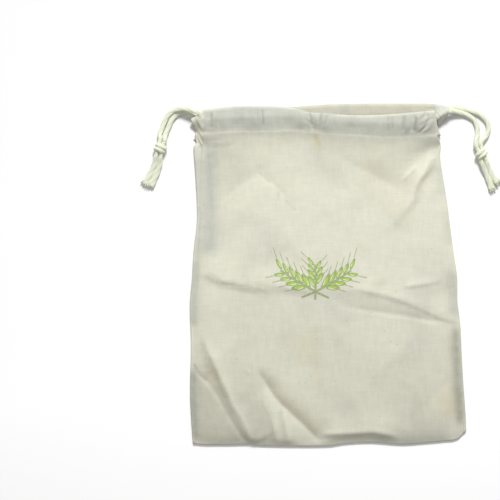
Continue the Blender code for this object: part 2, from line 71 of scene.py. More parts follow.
# Heights of the middle of the cloth above the surface
BACK_LEVEL = CLOTH / 2
CAVITY = CORD_DIAMETER + 2 * CLEARANCE
WALL_TO_WALL = CAVITY + CLOTH
BACK_CHANNEL_TOP = BACK_LEVEL + WALL_TO_WALL + CLOTH / 2
STITCHED_STEP = CLOTH + CLEARANCE
BOTTOM_SEAM_LEVEL = BACK_LEVEL + STITCHED_STEP
BODY_LEVEL = 8.8

# How far the front leans away from the seams before it is at its full height
SIDE_SOFTNESS = 15.0
BOTTOM_SOFTNESS = 13.0

# The front climbs to the channel over this length, which is shorter near the seams
CHANNEL_RUN_MIDDLE = 62.0
CHANNEL_RUN_ENDS = 15.0
CHANNEL_RUN_CHANGE = 60.0
CHANNEL_RUN_STEEPNESS = 1.4

# The channels: the cords' lanes are measured from the mouth's edge
BACK_CHANNEL_HEIGHT = 26.5
CHANNEL_RISE = 9.0
UPPER_LANE = 6.8
LOWER_LANE = 13.8
INNER_EDGE_ABOVE_STITCHES = 1.4

# Where the channels end, across the bag. The turned-in layers stop short, so that the cords can turn round.
INNER_LEFT = -104.0
INNER_RIGHT = 85.0
FRONT_LEFT = -134.6
FRONT_RIGHT_AT_STITCHES = 118.0
FRONT_RIGHT_AT_MOUTH = 113.0
BACK_LEFT_AT_STITCHES = -145.0
BACK_LEFT_AT_MOUTH = -140.5
BACK_RIGHT_AT_STITCHES = 118.0
BACK_RIGHT_AT_MOUTH = 129.5
OUTER_END_STRIP = 8.0
INNER_END_STRIP = 3.0

Place = namedtuple("Place", "at value")


def places(*rows):
    return [Place(*row) for row in rows]


# Sides of the bag as it lies, from the bottom up: height up the bag, distance across
LEFT_EDGE = places(
    (-184, -146.5), (-135, -149.5), (-76, -148.6), (-34, -149.8), (-2, -147.4), (27, -145.7), (60, -142.0),
    (103, -143.5), (135, -145.6), (152, -146.0),
)
RIGHT_EDGE = places(
    (-184, 149.6), (-165, 149.8), (-141, 148.6), (-118, 147.0), (-83, 145.0), (-49, 143.4), (-22, 140.4),
    (5, 139.8), (33, 135.7), (60, 132.1), (88, 128.3), (119, 122.8), (131, 121.4), (142, 122.2),
    (152, 118.4),
)
# Bottom, mouth and channel stitching: distance across, height up the bag
BOTTOM_EDGE = places(
    (-150, -176.0), (-145, -182.6), (-116, -184.0), (-85, -183.6), (-79, -184.6), (-39, -185.6),
    (1, -185.2), (19, -182.6), (47, -181.3), (80, -183.5), (102, -182.1), (124, -180.0), (140, -177.6),
    (150, -167.5),
)
FRONT_MOUTH = places(
    (-136, 177.8), (-105, 181.2), (-73, 181.8), (-46, 180.6), (-33, 178.0), (-18, 174.5), (-6, 173.9),
    (28, 171.2), (66, 172.4), (97, 175.4), (119, 177.6),
)
BACK_MOUTH = places(
    (-148, 172.0), (-136, 177.0), (-105, 180.4), (-60, 181.2), (-35, 182.2), (1, 184.8), (41, 185.6),
    (91, 185.6), (115, 185.2), (131, 182.0),
)
FRONT_STITCHES = places(
    (-136, 151.8), (-100, 154.2), (-72, 154.0), (-33, 154.8), (-7, 151.6), (28, 149.6), (66, 147.6),
    (103, 149.4), (119, 150.6),
)
# The gap that the mouth stands open by, across the bag
MOUTH_GAP = places((-136, 0.9), (-80, 1.4), (-30, 4.6), (5, 6.3), (60, 6.3), (90, 4.4), (119, 1.6))
# The back's edge rolls over onto the front: height up the bag, how far the seam lies inside the bag's edge
LEFT_SEAM_INSET = places((-184, 3.2), (40, 3.4), (66, 4.0), (100, 6.0), (120, 8.2), (150, 11.4))
RIGHT_SEAM_INSET = places((-184, 3.2), (150, 3.4))
# Below the channel, the rolled edge opens flat over this length
UNROLL_RUN = 8.0
# It is a little uneven along its length
ROLL_WAVE_HEIGHT = 0.3
ROLL_WAVE_SIZE = 9.0
# Height up the bag, rise of the rolled edge from the cloth below it
LEFT_ROLL = places((-184, 1.9), (-120, 2.4), (60, 2.8), (130, 4.0), (150, 4.4))
RIGHT_ROLL = places((-184, 1.9), (-120, 2.6), (60, 2.8), (150, 3.4))

# Creases of the front: a crest along its points, or a trough where the height is below 0. lit is the width on
# the left of the line as it runs, and shaded the width on the right. It fades over a share of each end.
Crease = namedtuple("Crease", "name points height lit shaded fade_in fade_out")
CREASES = [Crease(*row) for row in (
    ("pressed fold left", [(-139, 6), (-115, -6), (-90, -11), (-61, -12), (0, -17)], 2.3, 30, 8, 0.10,
     0.20),
    ("pressed fold right", [(0, -16), (33, -15), (71, -23), (114, -34), (139, -50)], 1.9, 34, 15, 0.15,
     0.10),
    ("fold to right seam", [(124, 133), (98, 103), (93, 84), (57, 39)], 2.0, 7, 16, 0.05, 0.45),
    ("short fold", [(96, 118), (79, 95)], 1.0, 9, 5, 0.30, 0.40),
    ("slack below channel", [(-14, 150), (17, 125), (76, 93), (93, 70)], -1.2, 15, 15, 0.10, 0.35),
    ("slack upper left", [(-82, 119), (-53, 92)], -0.8, 9, 9, 0.40, 0.40),
    ("long corner fold", [(-77, -186), (-95, -158), (-107, -134), (-116, -112), (-134, -68)], 3.4, 9, 40,
     0.06, 0.30),
    ("second corner fold", [(-54, -186), (-59, -152), (-68, -113)], 1.7, 7, 22, 0.05, 0.50),
    ("third corner fold", [(-44, -186), (-50, -159), (-53, -138)], 1.5, 5, 16, 0.05, 0.50),
    ("trough to bottom", [(-6, -186), (-28, -160), (-50, -141), (-70, -113), (-86, -92)], -2.0, 28, 22,
     0.06, 0.40),
    ("bottom wave", [(-10, -170), (8, -171.5), (30, -170), (49, -168), (62, -170.5), (80, -177)], 3.2, 24,
     10, 0.25, 0.25),
    ("centre press", [(-13, -45), (-12, -150)], -0.7, 9, 9, 0.25, 0.25),
    ("right ripple", [(78, -12), (119, -6)], 0.9, 9, 12, 0.35, 0.30),
    ("right edge ripple", [(136, -60), (139, -120)], 1.2, 12, 8, 0.30, 0.30),
)]
CREASE_STEEPNESS = 1.6
CREST_SOFTNESS = 1.4
CREASE_CLEAR_OF_SEAM = 9.0

# The fine channel of the front is a little flatter than its solid, and rises to its height over FINE_RISE.
# The cords inside it lie flatter too: the level of their middle above the inner wall, how far up they lie
# from the solid's lane, and their width and height as shares of the round cord's.
FINE_WALLS = 5.4
FINE_RISE = 17.0
LANE_LEVEL = 1.65
LANES_UP = 1.2
CORD_IN_CHANNEL = (1.12, 0.54)
# No gather goes deeper than this, so that the cloth stays above the cords
DEEPEST_GATHER = -0.7
# The seam sinks a little at the stitches, over this share of the channel's height
STITCH_SINK = 0.2
STITCH_SINK_SHARE = 1 / 12
# How far the turned-in layer reaches at the channel's two open ends
OPEN_END_LAYER = 0.6
OPEN_END_RUN = 6.0
OPEN_END_INSIDE = 3.0
# Shares of the channel's height at which its puckers and gathers are at their full height
PUCKERS_FULL_AT = 0.5
GATHERS_FULL_AT = 0.2
# Share of the gathers' height that pulls the mouth's edge up or down in the cloth's plane
GATHERED_MOUTH = 0.3

# Uneven waves of the fine cloth: height, size in millimetres, seed, and how much longer they are one way
Wave = namedtuple("Wave", "height size seed stretch_across stretch_up", defaults=(1.0, 1.0))
SLACK_WAVES = [Wave(0.55, 46, 3.1), Wave(0.22, 17, 8.7)]
SLACK_CLEAR_OF_SEAM = 14.0
STITCH_WAVES = [Wave(0.35, 5.5, 5.2, 1.0, 0.3)]
STITCH_WAVES_REACH = 5.0
SEAM_WAVES = [Wave(0.35, 7.0, 2.4, 0.3, 1.0)]
SEAM_WAVES_REACH = 5.0
SEAM_WAVES_CLEAR_OF_BOTTOM = 8.0
CHANNEL_WAVES = [Wave(0.25, 5.5, 5.2, 1.0, 0.35), Wave(0.25, 16, 4.4)]
LINING_WAVES = [Wave(0.35, 9.0, 6.6)]

# Sharper lines on those folds, which only the fine cloth has
FINE_SOFTNESS = 0.7
FINE_CLEAR_OF_SEAM = 3.0
FINE_CREASES = [Crease(*row) for row in (
    ("corner line", [(-86, -182), (-93, -174), (-105, -156), (-118, -133), (-131, -115), (-140, -107),
     (-147, -93)], -0.8, 4, 4, 0.1, 0.2),
    ("corner ridge", [(-90, -179), (-93, -158), (-102, -144), (-108, -132), (-120, -102), (-129, -84),
     (-137, -62)], 0.9, 3.5, 12, 0.1, 0.3),
    ("valley line", [(-8, -181), (-22, -163.5), (-44, -145), (-52, -139), (-62, -124), (-82, -96)], -1.0, 7,
     12, 0.08, 0.35),
    ("third ridge", [(-43, -182), (-52, -142)], 0.8, 3, 9, 0.1, 0.4),
    ("second ridge", [(-57, -180), (-66, -133)], 0.4, 3, 8, 0.1, 0.4),
    ("ripple", [(-92, -99), (-83, -108)], 0.5, 3, 3, 0.4, 0.4),
    ("wave crest", [(-11, -170), (-4, -172.5), (17, -170), (44, -168.7), (66, -171.4), (79, -178)], 0.9, 6,
     3.5, 0.15, 0.2),
    ("left dark line", [(-121, -8.7), (-90, -9.7), (-61, -12.5), (-40, -17)], -0.6, 3, 4, 0.1, 0.3),
    ("short left line", [(-129, 3.2), (-116, -5.4)], -0.4, 2.5, 2.5, 0.3, 0.3),
    ("wedge top", [(20, -14), (34, -15), (78, -27.5), (101, -37), (119, -45), (131, -49), (141, -49)], 0.7,
     8, 3.5, 0.2, 0.05),
    ("wedge foot", [(6, -31), (44, -38), (78, -43), (95, -46), (113, -50), (130, -50)], -0.8, 7, 4, 0.25,
     0.15),
    ("ripple line", [(78, -13.5), (95, -11), (114, -7)], 0.5, 5, 3, 0.3, 0.3),
    ("seam fold ridge", [(94.8, 81), (94.5, 90), (98, 100), (105.6, 110), (112.6, 124), (118.7, 128)], 0.9,
     6, 2.6, 0.3, 0.05),
    ("short ridge", [(81, 101), (95.3, 117)], 0.6, 5, 2.6, 0.4, 0.3),
    ("slack line", [(-75, 111.5), (-53, 92), (-40, 78)], -0.4, 3, 4, 0.3, 0.4),
    ("small tick", [(-54.5, 89), (-54, 80)], -0.4, 2, 2, 0.3, 0.3),
    ("crease under channel", [(-129, 139.5), (-113, 138.4), (-96, 142)], -0.5, 3, 3.5, 0.3, 0.4),
    ("crease under channel 2", [(-131, 146), (-112, 146.4)], -0.4, 2, 2.5, 0.3, 0.4),
    ("seam shadow", [(-134, 145), (-130, 120), (-126, 60), (-128, 10)], -0.5, 4, 7, 0.05, 0.3),
)]

# Puckers of the channels: place across, height, half width
Pucker = namedtuple("Pucker", "across height width")
PUCKERS = [Pucker(*row) for row in (
    (-127, 1.2, 5), (-113, 0.9, 6), (-78, 0.8, 7), (-30, 1.6, 6), (-5, 1.8, 6), (12, 0.8, 6), (42, 0.8, 8),
    (66, 1.2, 6), (83, 1.5, 6), (97, 1.7, 5), (108, 1.4, 5),
)]
# Gathers of the front channel, as sharp troughs and ridges across it
GATHERS = [Crease(*row) for row in (
    ("left ridge", [(-133, 155), (-133, 178)], 0.8, 2.5, 2.5, 0.1, 0.1),
    ("left valley", [(-126.5, 157), (-126, 174)], -1.3, 2, 2.2, 0.2, 0.3),
    ("left valley 2", [(-129.5, 166), (-128.5, 178)], -0.9, 1.6, 1.6, 0.2, 0.2),
    ("mark", [(-76.5, 162), (-78, 176)], -0.9, 1.5, 1.8, 0.3, 0.3),
    ("pinch", [(-11.5, 150), (-13.5, 156), (-17.5, 163), (-20.5, 175)], -2.0, 2.4, 2.6, 0.15, 0.25),
    ("pinch ridge", [(-13, 160), (-13.5, 175)], 0.9, 2, 2, 0.3, 0.2),
    ("pinch valley 2", [(-13.5, 161), (-9.5, 167), (-8.5, 175)], -1.1, 1.7, 1.7, 0.3, 0.2),
    ("pinch ridge 2", [(-8, 160), (-5.7, 174)], 0.8, 1.8, 1.8, 0.3, 0.2),
    ("pinch valley 3", [(-7.5, 158), (-3.2, 173)], -0.8, 1.8, 2, 0.3, 0.2),
    ("pinch left fan", [(-16, 158), (-24, 166), (-25, 173)], -0.7, 2, 2, 0.3, 0.4),
    ("right valley 1", [(63, 150), (62.5, 171)], -0.8, 2, 2, 0.3, 0.2),
    ("right valley 2", [(66, 151), (67.5, 172)], -1.0, 2, 2, 0.3, 0.2),
    ("right valley 3", [(79, 152), (81, 173)], -1.0, 2, 2, 0.3, 0.2),
    ("right ridge 1", [(83.5, 152), (83.5, 173)], 0.8, 2, 2, 0.3, 0.2),
    ("right valley 4", [(88, 153), (91.5, 163), (91.5, 172)], -1.6, 2.2, 2.2, 0.2, 0.25),
    ("right ridge 2", [(93, 155), (94.5, 173)], 1.0, 2, 2, 0.2, 0.2),
    ("loop fold 1", [(94, 153), (101, 160), (105, 171)], 1.1, 2.2, 1.8, 0.2, 0.2),
    ("loop fold 2", [(98, 152), (107, 158), (111, 168)], 1.0, 2.2, 1.8, 0.2, 0.2),
    ("loop valley", [(96, 152), (104, 159), (108, 170)], -1.0, 1.6, 1.6, 0.2, 0.2),
    ("cord below", [(-132, 163.5), (-60, 167), (-25, 165)], -0.2, 4, 5, 0.1, 0.2),
    ("cord below right", [(-5, 161), (28, 158.5), (60, 158), (85, 160)], -0.2, 4, 5, 0.1, 0.2),
)]

# Where the cloth's tone changes, by real greying, browning and yellowing, and by painted shade. A tone is
# strongest on its line, and fades over its widths to the left and right of the line as it runs, and over
# TONE_FADE of its length at both ends. A patch has its tone inside a closed line, whose edge is as soft
# as it says.
TONE_FADE = 0.12
Tone = namedtuple("Tone", "points left right strength")
Patch = namedtuple("Patch", "points soft strength")
COOL = [
    Tone([(-127, 151.5), (-128, 81), (-128.5, 16)], 9, 10, 1.0),
    Tone([(-144, 20.5), (-145, -59.5)], 6, 6, 0.6),
    Tone([(-145.5, -94), (-146, -149.5), (-143, -183)], 6, 6, 0.6),
    Tone([(-143, 145), (-139, 55), (-143, 9.5)], 5, 5, 0.45),
    Tone([(136, 5.5), (139.5, -50)], 7, 7, 0.6),
    Tone([(142, -59.5), (146.5, -168)], 6, 6, 0.5),
    Tone([(128, 70.5), (133, 30.5)], 6, 6, 0.4),
    Tone([(115, 118), (124, 84.5)], 8, 8, 0.35),
    Tone([(105, 148.5), (113.5, 135.5)], 7, 7, 0.5),
    Patch([(112, 190), (134, 190), (134, 168), (121, 156), (113, 160)], 2, 0.75),
    Tone([(-150, 151.5), (-72, 153), (-33, 153.5), (-7, 150.5), (28, 148.5), (66, 146.5), (130, 149.5)], 1,
         5, 0.55),
]
# Browning: real brown blotches and the stain below the pinch, and brownish painted shade in the troughs and
# on the dark sides of the folds and inside the mouth
BROWNING_AND_SHADE = [
    Tone([(125, 140), (118, 112)], 5, 5, 0.3),
    Patch([(-135.5, -94), (-123.5, -98.5), (-115, -113.5), (-107, -131), (-115, -133), (-123.5, -120),
          (-134.5, -109.5)], 3, 0.9),
    Tone([(-71.5, -109.5), (-63, -121.5), (-53, -135.5), (-39, -148.5), (-24, -162.5), (-11, -177.5)], 11,
         1.2, 1.0),
    Tone([(-118.5, -9.5), (-94, -12), (-60.5, -24)], 1, 5, 0.6),
    Patch([(18.5, -19.5), (60.5, -22.5), (80, -30.5), (119, -46.5), (112.5, -47.5), (69.5, -41),
          (18.5, -35.5)], 4, 0.1),
    Tone([(112.5, 123), (105.5, 109.5), (98, 99.5), (95, 90)], 3, 1, 0.9),
    Tone([(-11, 146), (-9.5, 110.5)], 5, 5, 0.4),
    Tone([(30.5, 120), (80, 92), (59.5, 59.5)], 20, 20, 0.35),
    Tone([(-14, -44.5), (-12, -139.5)], 7, 7, 0.4),
    Tone([(0, 178.5), (59.5, 180), (111.5, 181)], 7, 7, 0.45),
    Tone([(130, -109.5), (134.5, -160.5)], 9, 9, 0.4),
    Tone([(-6.5, -149.5), (9.5, -177.5)], 7, 7, 0.4),
]
YELLOW = [
    Tone([(-16, 153), (-10.5, 137.5)], 2.2, 2.2, 0.8),
    Tone([(120, -128), (134.5, -149.5)], 9, 9, 0.35),
    Tone([(-30.5, -59.5), (-19.5, -99.5)], 12, 12, 0.3),
    Tone([(-133, 150.5), (-136.5, 144)], 1.5, 1.5, 0.6),
]
# Painted shade: darker planes and lines of the folds and gathers, darker cloth along the edges, the bottom
# and below the channel, and a painted shadow in the gap where the left cord goes in
PAINTED_SHADE = [
    Patch([(-122, -99), (-114, -114), (-108.5, -127), (-102, -141.5), (-94, -153.5), (-88.5, -165.5),
          (-84, -180), (-91, -178), (-102, -160.5), (-110.5, -145), (-118.5, -131.5), (-129.5, -115),
          (-136, -106)], 2.2, 0.34),
    Patch([(-136, -76), (-127, -88), (-120, -102), (-132, -110), (-141, -101)], 7, 0.3),
    Tone([(-114, -114), (-108.5, -127), (-102, -141.5), (-94, -153.5), (-88.5, -165.5), (-84, -180)], 0.8,
         4, 0.6),
    Tone([(-112, -78), (-78, -132)], 20, 20, 0.25),
    Tone([(-136, -68.5), (-129.5, -83), (-121.5, -99.5), (-114, -114)], 0.9, 7, 0.4),
    Tone([(-146, -95), (-138.5, -107), (-129.5, -115)], 1.1, 1.4, 0.75),
    Tone([(-129.5, -115), (-118.5, -131.5), (-110.5, -145), (-102, -160.5), (-91, -178)], 1.5, 2.5, 0.3),
    Patch([(-148.5, -107), (-138.5, -111.5), (-129.5, -119), (-118.5, -135.5), (-110.5, -148.5),
          (-102, -164.5), (-92, -180), (-146, -182), (-148.5, -146)], 3, 0.62),
    Tone([(-146.5, -98.5), (-147.5, -135.5), (-144, -182)], 5, 6, 0.75),
    Tone([(-143, -181), (-84.5, -181), (-30.5, -183)], 8, 2, 0.4),
    Patch([(-104, -124.5), (-76, -129), (-65, -148.5), (-58.5, -180), (-82.5, -180), (-92, -151.5)], 8,
          0.42),
    Tone([(-73, -131.5), (-61, -159), (-55.5, -181)], 0.8, 10, 0.4),
    Tone([(-51.5, -142), (-47.5, -159), (-44.5, -179)], 0.8, 3.5, 0.45),
    Tone([(-78.5, -98.5), (-66.5, -116), (-58.5, -129.5), (-51, -138), (-35.5, -153.5), (-22.5, -165.5),
         (-8, -179)], 7, 0.8, 0.6),
    Tone([(-130.5, 4), (-116, -6)], 1.1, 1.1, 0.5),
    Tone([(-118.5, -8.5), (-94, -10.5), (-78.5, -13)], 1, 1.4, 0.75),
    Tone([(-78.5, -13), (-60.5, -22.5)], 1, 1.4, 0.4),
    Tone([(-94, -2), (-89, -1)], 2, 2, 0.2),
    Tone([(32.5, -18.5), (60, -21), (80, -28.5), (102, -37.5), (118.5, -45.5), (129.5, -49.5)], 0.8, 2.4,
         0.25),
    Tone([(13.5, -34.5), (42, -39), (69, -42.5), (91, -45.5), (112.5, -49)], 4, 0.8, 0.25),
    Tone([(78, -13.5), (102, -11.5), (124, -6)], 0.8, 2.5, 0.35),
    Tone([(137, -50), (137.5, -75), (139.5, -113.5), (143, -168)], 5, 6.5, 1.1),
    Tone([(131, 10), (134, -45)], 7, 8, 0.3),
    Tone([(-122, 140), (-90, 96)], 26, 26, 0.5),
    Tone([(60, -92), (110, -140)], 45, 45, 0.26),
    Tone([(-120, -30), (0, -80), (20, -160)], 45, 30, 0.17),
    Tone([(-145, 20), (-146, -60)], 5, 5, 0.3),
    Tone([(85, -155), (135, -160)], 18, 16, 0.25),
    Tone([(-145, 168), (-138, 158), (-134.5, 148)], 1.1, 1.1, 0.5),
    Tone([(-141, 169), (-135.5, 160), (-133, 152)], 1.1, 1.1, 0.45),
    Tone([(-140.5, 171.2), (-137, 169.6)], 1.5, 1.5, 0.95),
    Tone([(113.5, 183.5), (115, 178), (118.5, 171)], 1.2, 1.2, 0.7),
    Tone([(117, 182), (121, 173)], 1.3, 1.3, 0.4),
    Tone([(122.5, 181), (125.5, 174)], 1.3, 1.3, 0.3),
    Tone([(2, -175.5), (78, -180), (137.5, -175.5)], 15, 2, 0.35),
    Tone([(-9.5, -172), (18.5, -171.5), (46.5, -170.5), (61.5, -173.5), (78, -177.5)], 0.8, 4.5, 0.55),
    Tone([(-77.5, 113), (-62, 99)], 1.2, 1.2, 0.5),
    Tone([(-46.5, 81), (-35.5, 69.5)], 1.2, 1.2, 0.35),
    Tone([(-54, 90), (-54, 79)], 0.9, 0.9, 0.4),
    Tone([(-127.5, 138.5), (-114, 137), (-103, 141)], 1.4, 1.4, 0.6),
    Tone([(-129, 145), (-111.5, 145.5)], 1.2, 1.2, 0.3),
    Tone([(-135.5, 145), (-138, 121.5), (-138.5, 100.5), (-139, 48.5), (-142, -27)], 0.9, 0.9, 0.35),
    Tone([(116, 126.5), (110.5, 122.5), (104, 109.5), (96.5, 99.5), (93.5, 87.5), (93.5, 79)], 1, 1, 0.55),
    Tone([(95.5, 116), (78, 98.5)], 1, 1, 0.4),
    Tone([(-126, 176.5), (-125, 158)], 1.4, 1.2, 0.72),
    Tone([(-122, 170), (-121, 158)], 1.1, 1.1, 0.51),
    Tone([(-131, 177.5), (-130.5, 168)], 1.1, 1.1, 0.43),
    Tone([(-71, 178.5), (-70, 161.5)], 1.1, 1.1, 0.72),
    Tone([(-20.5, 175.5), (-18, 163), (-12.5, 151.5)], 1.2, 1.5, 0.95),
    Tone([(-24, 163.5), (-19.5, 157)], 2, 2, 0.43),
    Tone([(-8.5, 173.5), (-11, 159)], 1.2, 1.2, 0.58),
    Tone([(-2, 172), (-5.5, 158)], 1.2, 1.2, 0.51),
    Tone([(63, 171), (63, 156)], 1.5, 1.5, 0.36),
    Tone([(67, 170), (68, 157)], 1.4, 1.4, 0.43),
    Tone([(80, 171), (78.5, 155)], 1.8, 1.8, 0.58),
    Tone([(93, 170), (91, 154)], 2.2, 1.4, 0.94),
    Tone([(95, 166), (100.5, 170.5), (104, 176.5)], 1.1, 1.1, 0.72),
    Tone([(96.5, 160.5), (106, 167), (113.5, 169)], 1.1, 1.1, 0.65),
    Tone([(105, 173.5), (106.5, 169.5)], 1, 1, 0.72),
    Tone([(-95.5, 176.5), (-96.5, 160.5)], 5, 5, 0.17),
    Tone([(-41, 175.5), (-43.5, 159)], 6, 6, 0.17),
    Tone([(26, 171), (24, 156)], 6, 6, 0.22),
    Tone([(103, 180), (112.5, 180.5)], 1.4, 1.4, 0.8),
    Tone([(-44.5, 177), (2, 171.5), (78, 173.5), (110.5, 176.5)], 1.6, 0.8, 0.72),
    Tone([(-134.5, 150.5), (-30.5, 154), (34.5, 148.5), (112.5, 150.5)], 1.0, 1.6, 0.2),
    Tone([(-150, 151), (-72, 152.5), (-33, 153), (-7, 150), (28, 148), (66, 146), (103, 148), (130, 149)],
         6, 13, 0.62),
]

# The bend of a cord at the far end of the channels: share of the way from the front lane to the back one, and
# reach past their ends
Bend = namedtuple("Bend", "share reach")
TURN_BEND = [Bend(0.12, 4.3), Bend(0.5, 6.2), Bend(0.88, 4.3)]

# A knot: its name, the place of its middle, the way that the tails leave, and the slant of its turns
Knot = namedtuple("Knot", "name centre heading slant")
# A drawstring: where it leaves the front and the back channel and where it turns at their far end, across the
# bag; the way that it leaves, and how far below the mouth its lanes lie; its knot; how much wider and flatter
# than round its free strands lie, and the fan and reach of its frayed yarns; its routes from the channels to
# the knot and its tails below the knot, as points across, up the bag and above the surface.
Drawstring = namedtuple(
    "Drawstring", "front_end back_end turn outward front_below back_below knot spread fray strands tails"
)
DRAWSTRINGS = {
    "left": Drawstring(
        front_end=-121.0, back_end=-129.0, turn=93.0, outward=-1.0, front_below=UPPER_LANE,
        back_below=LOWER_LANE, knot=Knot("knot_left", (-181.4, 136.6), -104.0, -14.0), spread=0.22,
        fray=(0.5, 1.6),
        strands={
            "front": [
                (-131, 172.6, 11.8), (-140, 174.8, 11.2), (-149, 178.0, 9.8), (-158, 179.4, 8.0),
                (-167, 177.6, 5.4), (-174.6, 170.4, 3.3), (-179.0, 160.6, 3.0), (-181.9, 152.0, 4.2),
            ],
            "back": [
                (-138, 168.0, 3.7), (-146, 171.4, 3.6), (-154, 174.8, 3.0), (-161, 175.2, 2.7),
                (-166.6, 171.6, 2.7), (-170.4, 165.6, 2.7), (-173.6, 157.8, 2.8), (-176.4, 150.8, 4.2),
            ],
        },
        tails={
            "front": [(-187.2, 121.6, 4.2), (-190.6, 112.8, 3.0), (-195.0, 104.6, 2.7), (-199.0, 99.0, 2.7)],
            "back": [(-181.9, 120.4, 4.2), (-184.9, 111.4, 3.0), (-188.8, 102.8, 2.7), (-192.0, 96.4, 2.7)],
        },
    ),
    "right": Drawstring(
        front_end=103.0, back_end=105.0, turn=-106.0, outward=1.0, front_below=LOWER_LANE,
        back_below=UPPER_LANE, knot=Knot("knot_right", (165.2, 130.7), -72.0, 22.0), spread=0.15,
        fray=(0.7, 2.6),
        strands={
            "front": [
                (112, 167.0, 12.2), (121, 172.4, 10.2), (130, 176.6, 8.2), (141, 175.9, 4.4),
                (151, 172.9, 2.8), (158.4, 167.4, 2.7), (161.4, 159.6, 2.7), (161.3, 151.6, 3.0),
                (159.9, 145.8, 4.5),
            ],
            "back": [
                (114, 178.4, 3.7), (121.6, 178.8, 3.9), (130, 180.2, 3.6), (141, 180.2, 2.8),
                (152, 178.0, 2.7), (163, 174.4, 2.7), (171.0, 167.6, 2.7), (173.8, 159.0, 2.7),
                (171.4, 151.0, 3.0), (167.4, 146.4, 4.5),
            ],
        },
        tails={
            "front": [(168.6, 114.6, 4.2), (172.2, 107.0, 3.0), (175.2, 99.6, 2.7), (177.2, 93.2, 2.7)],
            "back": [(172.8, 116.6, 4.2), (176.4, 109.6, 3.0), (179.8, 104.4, 2.7), (183.2, 99.8, 2.7)],
        },
    ),
}
KNOT_LENGTH = 15.0
KNOT_LEVEL = 5.7
STRAND_OFFSET = 2.55
STRAIGHT_END = 3.0
# How much wider a tail is at its cut end
TAIL_FLARE = 0.42
# The plies' crowns stand a little inside the round cord's diameter
CROWNS = 0.97
# The strands keep their round section over this share of their length at their ends
ROUND_END = 0.12
# Distances between the points of a cord: inside the channels, outside them, and in a knot's turns
CHANNEL_STEP = 3.0
FREE_STEP = 1.2
WRAP_STEP = 1.0

# The turns of a tied knot: place along it, the part of a circle that they go round, in half circles, and size
Wrap = namedtuple("Wrap", "shift start end size")
WRAPS = [Wrap(-2.0, -0.55, 1.62, 1.0), Wrap(2.0, -0.75, 1.42, 0.97)]
WRAP_ACROSS = 4.4
WRAP_UP = 3.3
WRAP_POINTS = 25
WRAP_LAY = 26.0
WRAP_THICKER = 1.04
# A turn advances along the knot, wobbles, and is tucked in at its two ends
WRAP_ADVANCE = 2.4
WRAP_WOBBLE = 0.35
WRAP_TUCK = 0.35
# The strands under the turns: points, length past the knot, pull towards the middle, and rise
CORE_POINTS = 11
CORE_OVERLAP = 0.4
CORE_PULL = 0.28
CORE_RISE = 0.25

# Grids of the fine cloth
FRONT_COLUMNS = 164
SKIRT_STEPS = 9
BODY_STEPS = 186
OUTER_STEPS = 20
TURN_STEPS = 8
INNER_STEPS = 5
BACK_COLUMNS = 72
BACK_FINE_COLUMNS = 26
BACK_FINE_FROM = 0.86
BACK_BODY_STEPS = 130
ROLL_STEPS = 4
FINE_ROLL_STEPS = 8


def smooth(share):
    """0 to 1, level at both ends."""
    share = np.clip(share, 0.0, 1.0)
    return share * share * (3 - 2 * share)


def mix(a, b, share):
    return a + (b - a) * share


def along(table, at):
    """The table's value at each place, on a smooth curve through its rows."""
    rows, values = np.array(table, float).T
    at = np.clip(at, rows[0], rows[-1])
    i = np.clip(np.searchsorted(rows, at, side="right") - 1, 0, len(table) - 2)
    before, after = np.maximum(i - 1, 0), np.minimum(i + 2, len(table) - 1)
    span = rows[i + 1] - rows[i]
    slope_a = (values[i + 1] - values[before]) / (rows[i + 1] - rows[before]) * span
    slope_b = (values[after] - values[i]) / (rows[after] - rows[i]) * span
    t = (at - rows[i]) / span
    return (
        (2 * t**3 - 3 * t**2 + 1) * values[i]
        + (t**3 - 2 * t**2 + t) * slope_a
        + (3 * t**2 - 2 * t**3) * values[i + 1]
        + (t**3 - t**2) * slope_b
    )


def left_seam(up):
    return along(LEFT_EDGE, up) + along(LEFT_SEAM_INSET, up)


def right_seam(up):
    return along(RIGHT_EDGE, up) - along(RIGHT_SEAM_INSET, up)


def inner_wall(across):
    """Middle of the turned-in layer of the front channel, above the surface."""
    return BACK_CHANNEL_TOP + along(MOUTH_GAP, across) + CLOTH / 2


def nearest_on(points, across, up):
    """Distance along the line (0 to 1) and signed distance from it, positive on its left."""
    runs = [math.dist(a, b) for a, b in zip(points, points[1:])]
    best = np.full(np.shape(across), np.inf)
    found, signed, before = np.zeros_like(best), np.zeros_like(best), 0.0
    for (ax, ay), (bx, by), run in zip(points, points[1:], runs):
        share = np.clip(((across - ax) * (bx - ax) + (up - ay) * (by - ay)) / run**2, 0.0, 1.0)
        dx, dy = across - mix(ax, bx, share), up - mix(ay, by, share)
        away = np.hypot(dx, dy)
        nearer = away < best
        side = np.where((bx - ax) * dy - (by - ay) * dx < 0, -1.0, 1.0)
        best = np.where(nearer, away, best)
        found = np.where(nearer, (before + share * run) / sum(runs), found)
        signed = np.where(nearer, side * away, signed)
        before += run
    return found, signed


def crease_height(crease, across, up, softness=CREST_SOFTNESS):
    share, away = nearest_on(crease.points, across, up)
    width = np.where(away > 0, crease.lit, crease.shaded)
    soft = softness / width
    far = np.sqrt((away / width) ** 2 + soft**2) - soft
    fade = smooth(share / crease.fade_in) * smooth((1 - share) / crease.fade_out)
    return crease.height * fade * np.clip(1 - far, 0.0, 1.0) ** CREASE_STEEPNESS


def waves(rows, across, up):
    """Height of the uneven waves of those rows at each point."""
    height = np.zeros(np.shape(across))
    for row in rows:
        points = zip(np.ravel(across * row.stretch_across), np.ravel(up * row.stretch_up))
        found = [noise.noise(Vector((x / row.size, y / row.size, row.seed))) for x, y in points]
        height += row.height * np.array(found).reshape(np.shape(across))
    return height


def from_seams(across, up):
    """Distances from the left, right and bottom seams, and the smallest of the three."""
    from_left = np.maximum(0.0, across - left_seam(up))
    from_right = np.maximum(0.0, right_seam(up) - across)
    from_bottom = np.maximum(0.0, up - along(BOTTOM_EDGE, across))
    return from_left, from_right, from_bottom, np.minimum(np.minimum(from_left, from_right), from_bottom)


